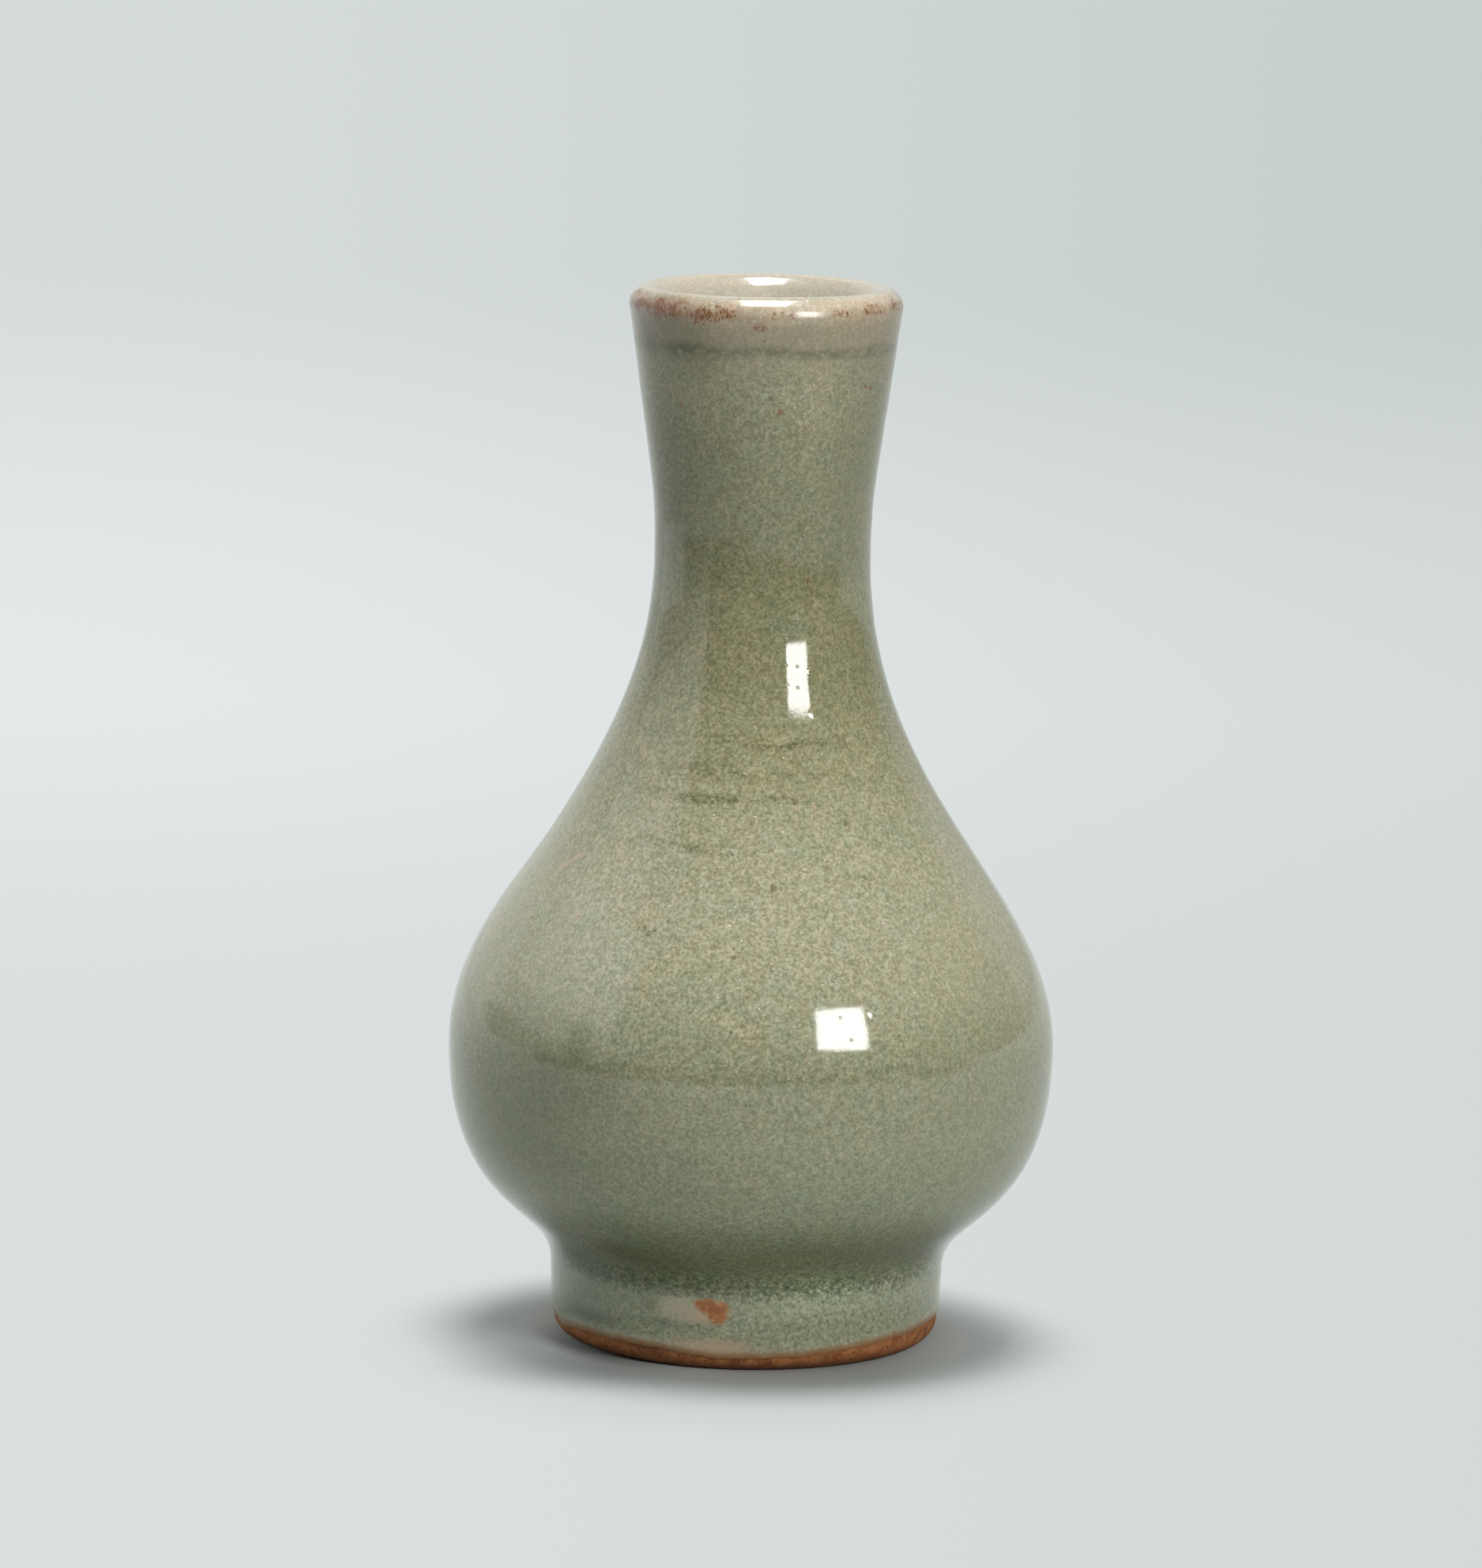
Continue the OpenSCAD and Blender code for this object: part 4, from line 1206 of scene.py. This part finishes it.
TABLE_END, TABLE_RIGHT, TABLE_LONGER, TABLE_FRONT = (0.58, 0.70), (0.1, 0.7), 0.3, (-0.1, 0.1)
DIM_ROOM = (0.03, 0.03, 0.03, 1.0)

ring_grid = turned_grid(np.array(FLOOR_RINGS)[:, None], 0.0, angles_round(FLOOR_COLUMNS))
ring_points = ring_grid.reshape(-1, 3)
inner_ring = len(ring_points) - FLOOR_COLUMNS
floor_faces = [
    quads_between(len(FLOOR_RINGS), FLOOR_COLUMNS),
    pole_fan(len(ring_points), inner_ring, FLOOR_COLUMNS),
]
floor = mesh_piece("floor", np.vstack([ring_points, np.zeros((1, 3))]), floor_faces)


def matt_paint_with_painted_shadow(place):
    """The floor's matt paint: grey, with a painted shadow at the left of the foot and where the foot
    touches it.
    """
    # Painted shadow: a dark ring where the foot touches the floor, and a darker patch at the left of the
    # foot.
    painted_contact_shadow = (1 - step(place.vector("LENGTH"), *PAINTED_CONTACT_SHADOW_EDGE)) * spot(place, *PAINTED_CONTACT_SHADOW_SIDE)
    grey = blend(spot(place, *PAINTED_SHADOW_SIDE) * PAINTED_SHADOW_SHARE, FLOOR_GREY, FLOOR_PAINTED_SHADOW)
    grey = blend(painted_contact_shadow, grey, FLOOR_PAINTED_SHADOW)
    sockets = {"Base Color": grey, "Roughness": FLOOR_ROUGHNESS, "Specular IOR Level": FLOOR_SHINE}
    return place.node("ShaderNodeBsdfPrincipled", None, sockets)


def backdrop_colour(place, depth):
    """The backdrop's colour: three pairs of left and right, blended by a fan of directions and by depth."""
    ahead = axis_of(place, "Y") + FAN_FRONT
    rightward = step(axis_of(place, "X") / ahead.math("MAXIMUM", ahead, FAN_LEAST), *FAN_SIDES)
    pairs = zip(BACKDROP_LEFT, BACKDROP_RIGHT)
    near, middle, distant = (blend(rightward, left, right) for left, right in pairs)
    colour = blend(step(depth, *MIDDLE_DEPTH), near, middle)
    return blend(step(depth, *DISTANT_DEPTH), colour, distant)


def ray_share(place, kind):
    """1 for rays of one kind and 0 for all others."""
    return place.node("ShaderNodeLightPath", None, None, kind)


def floor_paint():
    """Matt pale paint that turns into an even backdrop away from the vase, with painted light that pales
    the shadow at the sides.
    """
    material, place = start_finish("floor_paint")
    away = place.vector("SUBTRACT", SHADE_MIDDLE).vector("LENGTH")
    share = step(away * MM, *SHADE_EDGE)
    # Painted light: at the sides, part of the backdrop's glow is mixed in nearer the vase, which pales the
    # shadow there.
    share = share + (1 - share) * step(abs(axis_of(place, "X")), *SIDE_PAINTED_LIGHT_EDGE) * SIDE_PAINTED_LIGHT
    depth = axis_of(place, "Y") * MM
    glossy = ray_share(place, "Is Glossy Ray")
    reach = away * MM * (1 - step(axis_of(place, "X") / away, *TABLE_RIGHT) * TABLE_LONGER)
    beyond = step(reach, *TABLE_END) * (1 - step(depth, *TABLE_FRONT)) * glossy
    backdrop = blend(beyond, backdrop_colour(place, depth), DIM_ROOM)
    glow = place.node("ShaderNodeEmission", None, {"Color": backdrop})
    seen = ray_share(place, "Is Camera Ray") + glossy + ray_share(place, "Is Transmission Ray")
    mixed = {0: share * seen, 1: matt_paint_with_painted_shadow(place), 2: glow}
    show_surface(place, place.node("ShaderNodeMixShader", None, mixed))
    return material


floor.data.materials.append(floor_paint())
print("Floor radius in metres:", FLOOR_RINGS[0] * MM)

# %% [markdown]
# ## The soft boxes
#
# The reflections in the glaze tell where the light came from. A large box hangs overhead, made of
# three lamps so that its middle is brightest. A small box stands to the right in front, and its
# bright window shows on the belly and the neck. To the left is a tall dim panel, made of three
# lamps one behind the other, each longer than the last, so that its edge fades.
#
# An area lamp's power is worked out from the radiance of its face, because that is what a
# reflection shows: the same face looks equally bright at any size.

# %% Soft boxes
OVERHEAD_AIM = (0.0, 0.0, 0.07)
# Place, width, height, radiance.
OVERHEAD = {
    "overhead_box": ((0.01, -0.09, 1.07), 0.58, 0.48, 1.8),
    "overhead_main": ((-0.01, -0.09, 1.065), 0.43, 0.48, 8.77),
    "overhead_bulb": ((0.01, -0.09, 1.06), 0.30, 0.28, 7.7),
}
RIGHT_TURN, RIGHT_REACH, RIGHT_Z, RIGHT_AIM = math.radians(35.6), 0.46, 0.247, (0.0, 0.0, 0.21)
RIGHT_WIDTH, RIGHT_HEIGHT, RIGHT_RADIANCE, RIGHT_ROLL = 0.158, 0.157, 15.0, math.radians(-5.5)
PANEL_FRONT, PANEL_RADIANCE = -0.255, 0.29
# Place along x, back end along y, lower and upper edge.
LEFT_PANELS = {
    "left_panel_near": (-0.350, 0.14, 0.16, 0.39),
    "left_panel_middle": (-0.355, 0.22, 0.09, 0.44),
    "left_panel_far": (-0.360, 0.30, 0.04, 0.50),
}


def soft_box(name, place, aim, width, height, radiance, roll=0.0):
    """A rectangular lamp whose face sends out an even radiance towards a point, rolled about its beam."""
    lamp = bpy.data.lights.new(name, "AREA")
    lamp.shape = "RECTANGLE"
    lamp.size = width
    lamp.size_y = height
    lamp.energy = radiance * math.pi * width * height
    box = bpy.data.objects.new(name, lamp)
    bpy.context.scene.collection.objects.link(box)
    aimed = (Vector(place) - Vector(aim)).to_track_quat("Z", "Y").to_matrix().to_4x4()
    box.matrix_world = Matrix.Translation(place) @ aimed @ Matrix.Rotation(roll, 4, "Z")
    box.visible_camera = False
    print(name, "power in watts:", round(lamp.energy, 2))


for lamp_name, (lamp_place, *lamp_face) in OVERHEAD.items():
    soft_box(lamp_name, lamp_place, OVERHEAD_AIM, *lamp_face)
right_place = (RIGHT_REACH * math.sin(RIGHT_TURN), -RIGHT_REACH * math.cos(RIGHT_TURN), RIGHT_Z)
soft_box("right_box", right_place, RIGHT_AIM, RIGHT_WIDTH, RIGHT_HEIGHT, RIGHT_RADIANCE, RIGHT_ROLL)
for panel_name, (panel_x, panel_back, panel_low, panel_high) in LEFT_PANELS.items():
    panel_y, panel_z = (PANEL_FRONT + panel_back) / 2, (panel_low + panel_high) / 2
    panel_face = (panel_back - PANEL_FRONT, panel_high - panel_low, PANEL_RADIANCE)
    soft_box(panel_name, (panel_x, panel_y, panel_z), (0.0, panel_y, panel_z), *panel_face)

# %% [markdown]
# ## The room
#
# What the lamps leave dark, the room fills a little. It is dim on the camera's side and pale behind
# the vase, brighter on the left. The camera itself sees an even pale backdrop instead, through the
# Light Path node, so the picture's background does not depend on the light on the vase.

# %% Room
ROOM_BACK_LEFT, ROOM_BACK_RIGHT = (0.80, 0.82, 0.82, 1.0), (0.45, 0.46, 0.46, 1.0)
ROOM_BEHIND, ROOM_SIDES = (0.4, 0.75), (-0.35, 0.35)


def room_light():
    """The room: dim on the camera's side, pale behind the vase, and an even pale backdrop."""
    world = bpy.data.worlds.new("room")
    world.use_nodes = True
    world.node_tree.nodes.clear()
    direction = Value(world.node_tree).node("ShaderNodeTexCoord", out="Generated")
    back = blend(step(axis_of(direction, "X"), *ROOM_SIDES), ROOM_BACK_LEFT, ROOM_BACK_RIGHT)
    room = blend(step(axis_of(direction, "Y"), *ROOM_BEHIND), DIM_ROOM, back)
    colour = blend(ray_share(direction, "Is Camera Ray"), room, BACKDROP_LEFT[-1])
    background = direction.node("ShaderNodeBackground", None, {"Color": colour})
    direction.node("ShaderNodeOutputWorld", None, {"Surface": background})
    return world


bpy.context.scene.world = room_light()
bpy.context.scene.view_settings.view_transform = "Standard"
print("World:", bpy.context.scene.world.name)
